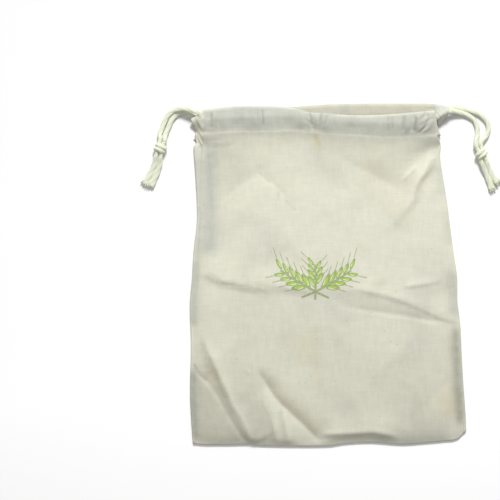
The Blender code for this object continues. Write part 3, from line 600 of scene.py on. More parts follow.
def front_height(across, up):
    """Middle of the front cloth, above the surface, anywhere below the channel."""
    from_left, from_right, from_bottom, from_seam = from_seams(across, up)
    nearness = from_left / (from_left + from_right + 1e-6)
    edge = BACK_LEVEL + mix(along(LEFT_ROLL, up), along(RIGHT_ROLL, up), nearness)
    edge = mix(BOTTOM_SEAM_LEVEL, edge, smooth(from_bottom / BOTTOM_SOFTNESS))
    fullness = (
        (1 - np.exp(-from_left / SIDE_SOFTNESS))
        * (1 - np.exp(-from_right / SIDE_SOFTNESS))
        * (1 - np.exp(-from_bottom / BOTTOM_SOFTNESS))
    )
    creases = sum(crease_height(c, across, up) for c in CREASES)
    height = mix(edge, BODY_LEVEL, fullness) + smooth(from_seam / CREASE_CLEAR_OF_SEAM) * creases
    from_side = np.minimum(from_left, from_right)
    run = mix(CHANNEL_RUN_ENDS, CHANNEL_RUN_MIDDLE, smooth(from_side / CHANNEL_RUN_CHANGE))
    below_stitches = along(FRONT_STITCHES, across) - up
    lifted = inner_wall(across) + STITCHED_STEP
    return mix(height, lifted, smooth(1 - below_stitches / run) ** CHANNEL_RUN_STEEPNESS)


def fine_height(across, up):
    """What the fine cloth adds to the front's height below the channel."""
    from_left, from_right, from_bottom, from_seam = from_seams(across, up)
    below_stitches = along(FRONT_STITCHES, across) - up
    creases = sum(crease_height(c, across, up, FINE_SOFTNESS) for c in FINE_CREASES)
    slack = smooth(from_seam / SLACK_CLEAR_OF_SEAM) * smooth(below_stitches / SLACK_CLEAR_OF_SEAM)
    near_stitches = np.exp(-below_stitches / STITCH_WAVES_REACH)
    near_side = np.exp(-np.minimum(from_left, from_right) / SEAM_WAVES_REACH)
    return (
        smooth(from_seam / FINE_CLEAR_OF_SEAM) * creases
        + slack * waves(SLACK_WAVES, across, up)
        + near_stitches * waves(STITCH_WAVES, across, up)
        + near_side * smooth(from_bottom / SEAM_WAVES_CLEAR_OF_BOTTOM) * waves(SEAM_WAVES, across, up)
    )


def puckers(across):
    return sum(p.height * np.exp(-(((across - p.across) / p.width) ** 2)) for p in PUCKERS)


def gathers(across, up):
    """What the fine cloth adds to the front channel's height."""
    height = np.maximum(sum(crease_height(c, across, up, FINE_SOFTNESS) for c in GATHERS), DEEPEST_GATHER)
    return height + waves(CHANNEL_WAVES, across, up)


def channel_bulge(above_stitches):
    """Distance between the middles of a channel's two walls."""
    return mix(STITCHED_STEP, WALL_TO_WALL, smooth(above_stitches / CHANNEL_RISE))


def turned_in(zone, share):
    """0 on a channel's outer wall, 1 on its turned-in layer, and between them round the mouth's edge."""
    if zone == "turn":
        return (90 - share) / 180
    return 1.0 if zone == "inner" else 0.0


def past_inner_ends(across, run, inside):
    """0 between the ends of a turned-in layer, 1 past them. The change starts that far inside each end."""
    past_right = smooth((across - INNER_RIGHT + inside) / run)
    return np.maximum(past_right, smooth((INNER_LEFT + inside - across) / run))


def front_row(zone, share, side):
    """A row of points of the front cloth. side runs 0 to 1 from left to right."""
    if zone == "body":
        left_top, right_top = (along(FRONT_STITCHES, end) for end in (FRONT_LEFT, FRONT_RIGHT_AT_STITCHES))
        left_up = mix(along(BOTTOM_EDGE, LEFT_EDGE[0].value), left_top, share)
        right_up = mix(along(BOTTOM_EDGE, RIGHT_EDGE[0].value), right_top, share)
        across = mix(left_seam(left_up) + SEAM_GAP / 2, right_seam(right_up) - SEAM_GAP / 2, side)
        up = mix(along(BOTTOM_EDGE, across), along(FRONT_STITCHES, across), share)
        return np.stack([across, up, front_height(across, up) + fine_height(across, up)], axis=-1)
    inward = turned_in(zone, share)
    right = mix(FRONT_RIGHT_AT_STITCHES, FRONT_RIGHT_AT_MOUTH, smooth(share) if zone == "outer" else 1.0)
    across = mix(FRONT_LEFT, right, side)
    stitches = along(FRONT_STITCHES, across)
    wall = inner_wall(across)
    radius = FINE_WALLS / 2
    turn = along(FRONT_MOUTH, across) - CLOTH / 2 - radius
    if zone == "outer":
        up = mix(stitches, turn, share)
        ripple = puckers(across) * smooth(share / PUCKERS_FULL_AT)
        ripple = ripple + gathers(across, up) * smooth(share / GATHERS_FULL_AT)
        bulge = mix(STITCHED_STEP, FINE_WALLS, smooth(share * (turn - stitches) / FINE_RISE))
        sink = STITCH_SINK * math.exp(-share / STITCH_SINK_SHARE)
        return np.stack([across, up, wall + bulge + ripple - sink], axis=-1)
    if zone == "turn":
        angle = math.radians(share)
        fine = gathers(across, turn) * (1 - inward) ** 2
        height = wall + radius + radius * math.sin(angle) + puckers(across) * (1 - inward) ** 2 + fine
        return np.stack([across, turn + (radius + GATHERED_MOUTH * fine) * math.cos(angle), height], axis=-1)
    open_end = past_inner_ends(across, OPEN_END_RUN, OPEN_END_INSIDE)
    depth = mix(turn - stitches - INNER_EDGE_ABOVE_STITCHES, OPEN_END_LAYER, open_end)
    return np.stack([across, turn - share * depth, wall], axis=-1)


# The back's turned-in layer is cut short where the cords turn round, and stands up from the outer wall there.
# At the right end it opens into a loose tube over both cords: the foot of that tube, and the middle of the
# cord that it lies over, across the bag.
SHORT_LAYER = 7.8
SHORT_LAYER_RUN = 4.0
SHORT_LAYER_INSIDE = 1.0
SHORT_LAYER_RISE = 15.0
TUBE_FOOT = places((108, 172), (114, 164), (119.5, 160.5), (124, 166.5), (131, 174.4))
TUBE_CORD_UP = places((108, 165.5), (121, 172.4), (131, 177.0))
TUBE_CORD_LEVEL = places((108, 12.4), (121, 10.2), (131, 8.0))
TUBE_CLEARANCE = 2.7
TUBE_HALF_WIDTH = 4.6
# Across the bag: where the cloth begins to lift over the cords, where the tube begins, the length of both
# changes, and where the tube's foot stops lying down
TUBE_LIFTS_FROM = 109.0
TUBE_FROM = 111.0
TUBE_RUN = 5.0
TUBE_FOOT_TO = 129.0
TUBE_FOOT_RUN = 7.0
# The last share of the layer comes down to this level
TUBE_EDGE_LEVEL = 1.7
TUBE_EDGE_FROM = 0.72
# Slanting folds of the tube: direction, distance from fold to fold, height, and the share of the layer over
# which they fade in
TUBE_FOLDS_WAY = (0.87, 0.5)
TUBE_FOLDS = 4.6
TUBE_FOLDS_HEIGHT = 0.45
TUBE_FOLDS_FADE = 0.3

# The front cloth goes on past its edges: under the rolled edge, and near the channel down to the back
Skirt = namedtuple("Skirt", "reach level folds")
LEFT_SKIRT = Skirt(
    reach=places(
        (136, 2.2), (140, 3.2), (144, 6.4), (147, 8.2), (150.7, 9.4), (156.3, 8.6), (163, 10.8),
        (169.5, 13.6), (173, 8.0), (176, 0.9),
    ),
    level=places(
        (136, 6.0), (140, 5.6), (144, 4.6), (149, 2.6), (158, 2.2), (165, 6.6), (171, 7.2), (176, 8.0),
    ),
    folds=0.9,
)
RIGHT_SKIRT = Skirt(
    reach=places((146, 2.2), (152, 3.4), (158, 2.4), (164, 0.9)),
    level=places((146, 5.2), (150, 4.4), (156, 2.6), (159, 2.6), (164, 8.0)),
    folds=0.2,
)
# How far up the bag the skirt starts and stops hanging, and how much lower its free edge lies
SKIRT_STARTS_OVER = 5.0
SKIRT_STOPS_OVER = 3.0
SKIRT_EDGE_LOWER = 1.5
# Where it doesn't hang, the edge is tucked under: reach and drop below the stitches, and in the channel
TUCK_REACH = 2.2
TUCK_DROP = 1.1
HEM_REACH = 0.9
HEM_DROP = 2.2
HEM_RUN = 6.0
# Slanting folds of the skirt: direction, and distance from fold to fold
SKIRT_FOLDS_WAY = (0.877, 0.482)
SKIRT_FOLDS = 4.4


def with_skirts(zone, row):
    """The row with extra points on both ends, which hang down over the end of the channel."""
    ends = []
    for skirt, end, outward in ((LEFT_SKIRT, row[0], -1.0), (RIGHT_SKIRT, row[-1], 1.0)):
        first, last = skirt.reach[0].at, skirt.reach[-1].at
        hangs = smooth((end[1] - first) / SKIRT_STARTS_OVER) * smooth((last - end[1]) / SKIRT_STOPS_OVER)
        hangs = 0.0 if zone in ("turn", "inner") else float(hangs)
        in_channel = float(smooth((end[1] - along(FRONT_STITCHES, end[0])) / HEM_RUN))
        reach = mix(mix(TUCK_REACH, HEM_REACH, in_channel), float(along(skirt.reach, end[1])), hangs)
        drop = mix(mix(TUCK_DROP, HEM_DROP, in_channel), end[2] - float(along(skirt.level, end[1])), hangs)
        points = []
        for n in range(1, SKIRT_STEPS + 1):
            share = n / SKIRT_STEPS
            across, up = end[0] + outward * reach * share, end[1] - SKIRT_EDGE_LOWER * hangs * share
            slanted = (SKIRT_FOLDS_WAY[0] * across + SKIRT_FOLDS_WAY[1] * up) / SKIRT_FOLDS
            height = hangs * skirt.folds * math.sin(math.pi * share) ** 0.5
            fold = height * math.sin(2 * math.pi * slanted)
            points.append((across, up, end[2] - drop * float(smooth(share * 0.8 + 0.2 * share**2)) + fold))
        ends.append(np.array(points))
    return np.concatenate([ends[0][::-1], row, ends[1]])


def front_rows():
    rows = [("body", n / BODY_STEPS) for n in range(BODY_STEPS + 1)]
    rows += [("outer", n / OUTER_STEPS) for n in range(1, OUTER_STEPS)]
    rows += [("turn", 90 - 180 * n / TURN_STEPS) for n in range(TURN_STEPS + 1)]
    return rows + [("inner", n / INNER_STEPS) for n in range(1, INNER_STEPS + 1)]


def front_grid():
    side = np.linspace(0.0, 1.0, FRONT_COLUMNS + 1)
    return np.stack([with_skirts(zone, front_row(zone, share, side)) for zone, share in front_rows()])


def back_stitches(across):
    return along(BACK_MOUTH, across) - BACK_CHANNEL_HEIGHT


def rolled_edge(share, left, step):
    """A point of the back's edge, which rolls up and over on to the front. step counts inwards from 0."""
    edges, insets, rises, outward = RIGHT_EDGE, RIGHT_SEAM_INSET, RIGHT_ROLL, 1.0
    if left:
        edges, insets, rises, outward = LEFT_EDGE, LEFT_SEAM_INSET, LEFT_ROLL, -1.0
    stitches = float(back_stitches(edges[-1].value))
    up = mix(float(along(BOTTOM_EDGE, edges[0].value)), stitches, share)
    radius = float(along(rises, up)) / 2
    arc = math.pi * radius
    straight = float(along(insets, up)) - (SEAM_GAP + CLOTH) / 2 - radius
    past = max(0.0, step - ROLL_STEPS) * (straight + SEAM_GAP)
    round_share = min(step / ROLL_STEPS, 1.0)
    turned = math.pi * round_share
    rolled = float(smooth((stitches - up) / UNROLL_RUN))
    lying_flat = arc * round_share + past - arc - straight
    out = mix(lying_flat, radius * (math.sin(turned) - 1) - past, rolled)
    rise = rolled * radius * (1 - math.cos(turned))
    uneven = noise.noise(Vector((up / ROLL_WAVE_SIZE, outward * 7.0, 1.3)))
    rise += ROLL_WAVE_HEIGHT * rolled * round_share * uneven
    return float(along(edges, up)) + outward * (out - CLOTH / 2), BACK_LEVEL + rise


def back_row(zone, share, steps, side):
    """A row of points of the back cloth, with its two rolled edges. steps counts round them."""
    row = []
    if zone == "body":
        left = [rolled_edge(share, True, step) for step in steps]
        right = [rolled_edge(share, False, step) for step in steps]
        row += [(across, height) for across, height in reversed(left[1:])]
        row += [(mix(left[0][0], right[0][0], s), BACK_LEVEL) for s in side]
        row += right[1:]
        across, height = np.array(row).T
        up = mix(along(BOTTOM_EDGE, across), back_stitches(across), share)
        return np.stack([across, up, height], axis=-1)
    inward = turned_in(zone, -share)
    up_share = share if zone == "outer" else 1.0
    strip = mix(OUTER_END_STRIP, INNER_END_STRIP, inward)
    left_end = mix(BACK_LEFT_AT_STITCHES, BACK_LEFT_AT_MOUTH, up_share)
    right_end = mix(BACK_RIGHT_AT_STITCHES, BACK_RIGHT_AT_MOUTH, float(smooth(up_share)))
    out = np.array(steps[1:]) / (ROLL_STEPS + 1) * strip
    between = mix(left_end + strip, right_end - strip, side)
    across = np.concatenate([(left_end + strip - out)[::-1], between, right_end - strip + out])
    stitches = back_stitches(across)
    radius = WALL_TO_WALL / 2
    turn = along(BACK_MOUTH, across) - CLOTH / 2 - radius
    if zone == "outer":
        up, height = mix(stitches, turn, share), np.full(np.shape(across), BACK_LEVEL)
    elif zone == "turn":
        angle = math.radians(share)
        height = np.full(np.shape(across), BACK_LEVEL + radius + radius * math.sin(angle))
        up = turn + radius * math.cos(angle)
    else:
        depth = turn - stitches - INNER_EDGE_ABOVE_STITCHES
        cut = past_inner_ends(across, SHORT_LAYER_RUN, SHORT_LAYER_INSIDE)
        tube = smooth((across - TUBE_FROM) / TUBE_RUN)
        depth = mix(mix(depth, SHORT_LAYER, cut), turn - along(TUBE_FOOT, across), tube)
        up = turn - share * depth
        above_edge = up - stitches - INNER_EDGE_ABOVE_STITCHES
        height = BACK_LEVEL + channel_bulge(np.maximum(above_edge, SHORT_LAYER_RISE * cut))
        over = along(TUBE_CORD_LEVEL, across) + TUBE_CLEARANCE - height
        arch = np.exp(-(((up - along(TUBE_CORD_UP, across)) / TUBE_HALF_WIDTH) ** 2))
        slanted = (TUBE_FOLDS_WAY[0] * across + TUBE_FOLDS_WAY[1] * up) / TUBE_FOLDS
        folds = TUBE_FOLDS_HEIGHT * np.sin(2 * math.pi * slanted) * smooth(share / TUBE_FOLDS_FADE)
        lifted = smooth((across - TUBE_LIFTS_FROM) / TUBE_RUN)
        height = height + lifted * (np.maximum(over, 0.0) * arch + folds)
        foot = smooth((TUBE_FOOT_TO - across) / TUBE_FOOT_RUN)
        foot = tube * foot * smooth((share - TUBE_EDGE_FROM) / (1 - TUBE_EDGE_FROM))
        height = mix(height, TUBE_EDGE_LEVEL, foot)
    if zone != "outer":
        height = height + inward * waves(LINING_WAVES, across, up)
    return np.stack([across, up, height], axis=-1)


def back_grid():
    coarse = np.linspace(0.0, BACK_FINE_FROM, BACK_COLUMNS - BACK_FINE_COLUMNS)
    side = np.concatenate([coarse, np.linspace(BACK_FINE_FROM, 1.0, BACK_FINE_COLUMNS + 2)[1:]])
    steps = [0.0] + [ROLL_STEPS * n / FINE_ROLL_STEPS for n in range(1, FINE_ROLL_STEPS + 1)]
    steps += [ROLL_STEPS + 0.5, ROLL_STEPS + 1.0]
    rows = [("body", n / BACK_BODY_STEPS) for n in range(BACK_BODY_STEPS + 1)]
    rows += [("outer", n / OUTER_STEPS) for n in range(1, OUTER_STEPS)]
    rows += [("turn", -90 + 180 * n / TURN_STEPS) for n in range(TURN_STEPS + 1)]
    rows += [("inner", n / OUTER_STEPS) for n in range(1, OUTER_STEPS + 1)]
    return np.stack([back_row(zone, share, steps, side) for zone, share in rows])


def surface_uv(points, anchor):
    """Lengths along the cloth, in metres, which are its own places across and up at the anchor."""
    across = np.linalg.norm(np.diff(points, axis=1), axis=2)
    up = np.linalg.norm(np.diff(points, axis=0), axis=2)
    u = np.concatenate([np.zeros((len(points), 1)), np.cumsum(across, axis=1)], axis=1)
    v = np.concatenate([np.zeros((1, points.shape[1])), np.cumsum(up, axis=0)], axis=0)
    row, column = anchor
    u += points[row:row + 1, column:column + 1, 0] - u[:, column:column + 1]
    v += points[row:row + 1, :, 1] - v[row:row + 1, :]
    return np.stack([u, v], axis=-1) * MM


def inside_of(points, across, up):
    """Distance from a closed line, above 0 inside it."""
    corners = [*points, points[0]]
    away = np.abs(nearest_on(corners, across, up)[1])
    inside = np.zeros(np.shape(across), bool)
    for (ax, ay), (bx, by) in zip(corners, corners[1:]):
        if ay != by:
            inside ^= ((ay > up) != (by > up)) & (across < ax + (bx - ax) * (up - ay) / (by - ay))
    return np.where(inside, away, -away)


def tinted(tints, across, up):
    """How strong a tone is at each point, 0 to 1."""
    left = np.ones(np.shape(across))
    for tint in tints:
        if isinstance(tint, Patch):
            found = smooth(0.5 + inside_of(tint.points, across, up) / (2 * tint.soft))
        else:
            share, away = nearest_on(tint.points, across, up)
            width = np.where(away > 0, tint.left, tint.right)
            ends = smooth(share / TONE_FADE) * smooth((1 - share) / TONE_FADE)
            found = ends * np.exp(-((away / width) ** 2))
        left = left * (1 - tint.strength * found)
    return 1 - left


def grid_piece(name, points, uv, marks=None, wrapped=False):
    """A grid whose rows and columns are the points, in millimetres, with its UV map and its marks."""
    bpy.ops.object.select_all(action="DESELECT")
    rows, columns = points.shape[:2]
    bpy.ops.mesh.primitive_grid_add(x_subdivisions=columns - 1, y_subdivisions=rows - 1, size=1)
    piece = bpy.context.active_object
    piece.name = piece.data.name = name
    mesh = piece.data
    flat = np.empty(len(mesh.vertices) * 3)
    mesh.vertices.foreach_get("co", flat)
    flat = flat.reshape(-1, 3)
    column = np.round((flat[:, 0] + 0.5) * (columns - 1)).astype(int)
    row = np.round((flat[:, 1] + 0.5) * (rows - 1)).astype(int)
    mesh.vertices.foreach_set("co", (points[row, column] * MM).ravel())
    corners = np.empty(len(mesh.loops), dtype=int)
    mesh.loops.foreach_get("vertex_index", corners)
    mesh.uv_layers.active.data.foreach_set("uv", uv[row, column][corners].ravel())
    for mark, values in (marks or {}).items():
        layer = mesh.attributes.new(mark, "FLOAT", "POINT")
        layer.data.foreach_set("value", values[row, column].ravel())
    mesh.update()
    if wrapped:
        in_edit_mode(piece, lambda: bpy.ops.mesh.remove_doubles(threshold=1e-6))
    bpy.ops.object.shade_smooth()
    return piece


def in_edit_mode(piece, step):
    bpy.context.view_layer.objects.active = piece
    bpy.ops.object.mode_set(mode="EDIT")
    bpy.ops.mesh.select_all(action="SELECT")
    step()
    bpy.ops.object.mode_set(mode="OBJECT")


def apply_modifiers(piece):
    bpy.ops.object.select_all(action="DESELECT")
    piece.select_set(True)
    bpy.context.view_layer.objects.active = piece
    for modifier in list(piece.modifiers):
        bpy.ops.object.modifier_apply(modifier=modifier.name)


def joined(name, pieces):
    """One object of the pieces."""
    bpy.ops.object.select_all(action="DESELECT")
    for piece in pieces:
        piece.select_set(True)
    bpy.context.view_layer.objects.active = pieces[0]
    bpy.ops.object.join()
    whole = bpy.context.active_object
    whole.name = whole.data.name = name
    return whole


def cloth_piece(name, points, anchor, marks, thickness, material):
    piece = grid_piece(name, points, surface_uv(points, anchor), marks)
    solid = piece.modifiers.new("Cloth", "SOLIDIFY")
    solid.thickness = thickness
    solid.offset = 0
    apply_modifiers(piece)
    piece.data.materials.append(material)
    return piece


def marks_of(points):
    """The tones of the cloth, painted shade among them, at every point of a grid."""
    tints = {"cool": COOL, "warm": BROWNING_AND_SHADE, "yellow": YELLOW, "shade": PAINTED_SHADE}
    return {mark: tinted(rows, points[..., 0], points[..., 1]) for mark, rows in tints.items()}


def smooth_route(points, step):
    """Points about one step apart on a smooth curve through the route's own points."""
    points = [Vector(p) for p in points]
    ends = [2 * points[0] - points[1], *points, 2 * points[-1] - points[-2]]
    route = [points[0]]
    for before, a, b, after in zip(ends, ends[1:], ends[2:], ends[3:]):
        count = max(1, round((b - a).length / step))
        for n in range(1, count + 1):
            t = n / count
            route.append(0.5 * (
                2 * a + (b - before) * t + (2 * before - 5 * a + 4 * b - after) * t**2
                + (3 * a - before - 3 * b + after) * t**3
            ))
    return np.array(route)


def carried_frames(route, closed=False):
    """Direction and two normals at each point of a route, turned no more than it needs."""
    ahead = np.roll(route, -1, axis=0) - np.roll(route, 1, axis=0)
    if not closed:
        ahead[0], ahead[-1] = route[1] - route[0], route[-1] - route[-2]
    ahead /= np.linalg.norm(ahead, axis=1)[:, None]
    normal = np.cross(ahead[0], (0.0, 0.0, 1.0))
    if np.linalg.norm(normal) < 0.1:
        normal = np.cross(ahead[0], (0.0, 1.0, 0.0))
    normals = []
    for direction in ahead:
        normal = normal - direction * np.dot(normal, direction)
        normal = normal / np.linalg.norm(normal)
        normals.append(normal)
    normals = np.array(normals)
    return ahead, normals, np.cross(ahead, normals)


# The rounded end of a cord: how far its middle and its edge stand out, and how far the edge comes in
CAP_MIDDLE = 0.25
CAP_EDGE = 0.17
CAP_INWARD = 0.3


def twisted_tube(name, route, radii, material, plies=3, lay=15.0, groove=0.10, sides=24, flat=None):
    """A cord of twisted plies along a route, in millimetres, with rounded ends.

    flat is its width and its height along the route, as shares of the round cord's.
    """
    ahead, normals, others = carried_frames(route)
    runs = np.concatenate([[0.0], np.cumsum(np.linalg.norm(np.diff(route, axis=0), axis=1))])
    angle = np.linspace(0.0, 2 * math.pi, sides + 1)[None, :]
    ply = np.abs(np.cos(plies * (angle - 2 * math.pi * runs[:, None] / lay) / 2))
    radius = radii[:, None] * (1 - groove * (1 - ply))
    width, height = (np.ones(len(route)),) * 2 if flat is None else flat
    points = route[:, None, :] + radius[..., None] * (
        np.cos(angle)[..., None] * (normals * width[:, None])[:, None, :]
        + np.sin(angle)[..., None] * (others * height[:, None])[:, None, :]
    )
    caps = []
    for end, way in ((0, -1.0), (-1, 1.0)):
        out = way * radii[end] * ahead[end]
        edge = mix(points[end], route[end], CAP_INWARD) + CAP_EDGE * out
        caps.append([edge, np.tile(route[end] + CAP_MIDDLE * out, (sides + 1, 1))])
    points = np.concatenate([np.array(caps[0][::-1]), points, np.array(caps[1])])
    lengths = np.concatenate([[runs[0]] * 2, runs, [runs[-1]] * 2])
    u = np.tile(angle * plies / (2 * math.pi), (len(points), 1)) - plies * lengths[:, None] / lay
    uv = np.stack([u, np.tile(lengths[:, None] * MM, (1, sides + 1))], axis=-1)
    piece = grid_piece(name, points, uv, wrapped=True)
    piece.data.materials.append(material)
    return piece


def knot_frame(knot):
    """Place of a knot, in millimetres, with X along the cord towards the tails, and Y across it."""
    place = Matrix.Translation(Vector((*knot.centre, KNOT_LEVEL)))
    return place @ Matrix.Rotation(math.radians(knot.heading), 4, "Z")


def knot_end(knot, side, tail):
    """A strand's first two points at the knot. side is 1 or -1 across it, and tail tells its lower end."""
    forward = 1.0 if tail else -1.0
    nearest = KNOT_LENGTH / 2 + CLEARANCE
    reaches = (nearest, nearest + STRAIGHT_END)
    return [knot_frame(knot) @ Vector((forward * reach, side * STRAND_OFFSET, 0)) for reach in reaches]


def front_lane(across, below_mouth):
    """Middle of a cord in the front channel."""
    height = inner_wall(across) + LANE_LEVEL
    return Vector((across, float(along(FRONT_MOUTH, across)) - below_mouth + LANES_UP, float(height)))


def back_lane(across, below_mouth):
    """Middle of a cord in the back channel."""
    return Vector((across, float(along(BACK_MOUTH, across)) - below_mouth, BACK_LEVEL + WALL_TO_WALL / 2))


def cord_in_channels(cord):
    """Route through the front channel, round at the far side and back through the back channel."""
    steps = round(abs(cord.turn - cord.front_end) / 10.0)
    shares = [n / steps for n in range(steps + 1)]
    front = [front_lane(mix(cord.front_end, cord.turn, share), cord.front_below) for share in shares]
    back = [back_lane(mix(cord.turn, cord.back_end, share), cord.back_below) for share in shares]
    onward = Vector((-cord.outward, 0, 0))
    bend = [mix(front[-1], back[0], row.share) + row.reach * onward for row in TURN_BEND]
    return front + bend + back


def drawstring_routes(side, cord):
    """The routes of one drawstring: inside the channels, and its four free lengths by name."""
    leaving = [cord.outward * CLEARANCE, cord.outward * (CLEARANCE + STRAIGHT_END)]
    starts = {
        "front": [front_lane(cord.front_end + further, cord.front_below) for further in leaving],
        "back": [back_lane(cord.back_end + further, cord.back_below) for further in leaving],
    }
    sides = {"front": -1, "back": 1}
    strands = {
        f"strand_{side}_{layer}":
            [*starts[layer], *cord.strands[layer], *reversed(knot_end(cord.knot, across, tail=False))]
        for layer, across in sides.items()
    }
    tails = {
        f"tail_{side}_{layer}": [*knot_end(cord.knot, across, tail=True), *cord.tails[layer]]
        for layer, across in sides.items()
    }
    return cord_in_channels(cord), {**strands, **tails}


# A frayed yarn: points along it, length inside the cord's end, radius at its two ends, and lowest level
YARN_POINTS = 7
YARN_INSIDE = 3.0
YARN_RADII = (0.78, 0.42)
YARN_LEVEL = 0.75
# How far out the yarns start, as shares of the cord's radius across the cord and up, and for every third one
YARN_ACROSS = 1.5
YARN_UP = 0.6
YARN_INNER = 0.4


def frayed_end(name, route, material, count, spread, reach, seed):
    """Loose yarns that leave the cut end of a cord."""
    ahead, normals, others = carried_frames(route)
    chance = random.Random(seed)
    yarns = []
    for n in range(count):
        turn = 2 * math.pi * (n + 0.4 * chance.random()) / count
        out = mix(0.55, 0.95, chance.random()) * CORD_RADIUS * (YARN_INNER if n % 3 == 0 else 1.0)
        side = YARN_ACROSS * math.cos(turn) * normals[-1] + YARN_UP * math.sin(turn) * others[-1]
        fan = spread * (0.4 + chance.random())
        length = reach * (0.65 + 0.6 * chance.random())
        curl = (chance.random() - 0.5) * 1.6
        path = []
        for share in np.linspace(0.0, 1.0, YARN_POINTS):
            place = route[-1] + ahead[-1] * (-YARN_INSIDE + (length + YARN_INSIDE) * share)
            place = place + side * out * (1 + fan * share**1.5) + np.cross(ahead[-1], side) * curl * share**2
            place[2] = max(place[2], YARN_LEVEL)
            path.append(place)
        radii = np.linspace(*YARN_RADII, YARN_POINTS)
        yarns.append(twisted_tube(f"{name}_{n}", np.array(path), radii, material, 2, 3.0, 0.12, 8))
    return joined(name, yarns)


class Nodes:
    """Adds nodes to a tree, and links what they are given."""

    def __init__(self, tree):
        self.tree = tree

    def feed(self, socket, value):
        if isinstance(value, bpy.types.NodeSocket):
            self.tree.links.new(value, socket)
        elif value is not None:
            socket.default_value = value

    def add(self, kind, settings=None, **inputs):
        node = self.tree.nodes.new(kind)
        for name, value in (settings or {}).items():
            setattr(node, name, value)
        for name, value in inputs.items():
            self.feed(node.inputs[name.replace("_", " ")], value)
        return node

    def math(self, operation, *values, kind="ShaderNodeMath"):
        node = self.add(kind, {"operation": operation})
        for socket, value in zip(node.inputs, values):
            self.feed(socket, value)
        return node.outputs[0]

    def chain(self, operation, first, *others):
        """The operation on the first two values, then on what that gives and the next one, and so on."""
        for value in others:
            first = self.math(operation, first, value)
        return first

    def times(self, *values):
        return self.chain("MULTIPLY", *values)

    def plus(self, *values):
        return self.chain("ADD", *values)

    def minus(self, *values):
        return self.chain("SUBTRACT", *values)

    def over(self, *values):
        return self.chain("DIVIDE", *values)

    def highest(self, *values):
        return self.chain("MAXIMUM", *values)

    def unsigned(self, value):
        return self.math("ABSOLUTE", value)

    def between(self, value, low, high):
        """1 where the value is between the two, otherwise 0."""
        return self.times(self.math("GREATER_THAN", value, low), self.math("LESS_THAN", value, high))

    def place(self, vector):
        """The vector's first two values."""
        return self.add("ShaderNodeSeparateXYZ", Vector=vector).outputs[:2]

    def give(self, node, **values):
        """Feeds a node's inputs by name."""
        for name, value in values.items():
            self.feed(node.inputs[name], value)

    def noise(self, vector, scale, detail=2.0, roughness=0.5, stretch=(1.0, 1.0, 1.0)):
        moved = self.add("ShaderNodeMapping", Vector=vector, Scale=stretch).outputs[0]
        found = self.add("ShaderNodeTexNoise", Vector=moved, Scale=scale, Detail=detail, Roughness=roughness)
        return found.outputs["Fac"]

    def range(self, value, low, high, to_low=0.0, to_high=1.0):
        node = self.add("ShaderNodeMapRange", {"interpolation_type": "SMOOTHSTEP"})
        for socket, given in zip(node.inputs, (value, low, high, to_low, to_high)):
            self.feed(socket, given)
        return node.outputs[0]

    def blend(self, share, a, b, mode="MIX"):
        node = self.add("ShaderNodeMix", {"data_type": "RGBA", "blend_type": mode, "clamp_factor": True})
        for socket, value in zip((node.inputs[0], node.inputs[6], node.inputs[7]), (share, a, b)):
            self.feed(socket, value)
        return node.outputs[2]

    def group(self, tree, **inputs):
        return self.add("ShaderNodeGroup", {"node_tree": tree}, **inputs)


def new_group(name, inputs, outputs):
    """An empty shader node group with named sockets."""
    tree = bpy.data.node_groups.new(name, "ShaderNodeTree")
    for socket, kind, value in inputs:
        made = tree.interface.new_socket(socket, in_out="INPUT", socket_type=kind)
        if value is not None:
            made.default_value = value
    for socket, kind in outputs:
        tree.interface.new_socket(socket, in_out="OUTPUT", socket_type=kind)
    nodes = Nodes(tree)
    return tree, nodes, tree.nodes.new("NodeGroupInput"), tree.nodes.new("NodeGroupOutput")


# How threads and their uneven places are stretched, across and up the cloth, in parts of a metre
WARP_SLUBS = (480.0, 62.0, 1.0)
WEFT_SLUBS = (55.0, 480.0, 1.0)
WIDE_WARP = (210.0, 48.0, 1.0)
WIDE_WEFT = (60.0, 130.0, 1.0)
# Flecks: how densely they may lie, the share of those places without one, and their outer and inner edge
FLECK_PLACES = (150.0, 95.0, 1.0)
WITHOUT_FLECK = 0.86
FLECK_EDGES = (0.16, 0.05)
# Share of the weave's height that comes from the threads going over and under, and from their thick places
CROSSING_RELIEF = 0.35
SLUB_RELIEF = 0.65


def weave_group():
    """Plain weave: warp and weft threads that go over and under each other, with thick and thin places."""
    tree, n, given, out = new_group(
        "Plain weave",
        [("Vector", "NodeSocketVector", None), ("Spacing", "NodeSocketFloat", 0.0006)],
        [("Height", "NodeSocketFloat"), ("Streaks", "NodeSocketFloat"), ("Flecks", "NodeSocketFloat")],
    )
    vector, spacing = given.outputs["Vector"], given.outputs["Spacing"]
    warp_slubs, weft_slubs, wide_warp, wide_weft = (
        n.noise(vector, 1.0, 3.0, 0.6, stretch) for stretch in (WARP_SLUBS, WEFT_SLUBS, WIDE_WARP, WIDE_WEFT)
    )
    u, v = (n.over(value, spacing) for value in n.place(vector))
    warp_over = n.math("MODULO", n.unsigned(n.plus(n.math("FLOOR", u), n.math("FLOOR", v))), 2.0)
    warp, weft = (n.unsigned(n.math("SINE", n.times(value, math.pi))) for value in (u, v))
    top = n.plus(n.times(warp, warp_over), n.times(weft, n.minus(1.0, warp_over)))
    thick = n.plus(warp_slubs, weft_slubs)
    scattered = n.add("ShaderNodeMapping", Vector=vector, Scale=FLECK_PLACES).outputs[0]
    speck = n.add("ShaderNodeTexVoronoi", {"feature": "F1"}, Vector=scattered, Scale=1.0)
    chosen = n.math("GREATER_THAN", n.place(speck.outputs["Color"])[0], WITHOUT_FLECK)
    n.give(
        out,
        Height=n.plus(n.times(top, CROSSING_RELIEF), n.times(thick, SLUB_RELIEF)),
        Streaks=n.times(n.plus(thick, wide_warp, wide_weft), 0.25),
        Flecks=n.times(n.range(speck.outputs["Distance"], *FLECK_EDGES), chosen),
    )
    return tree


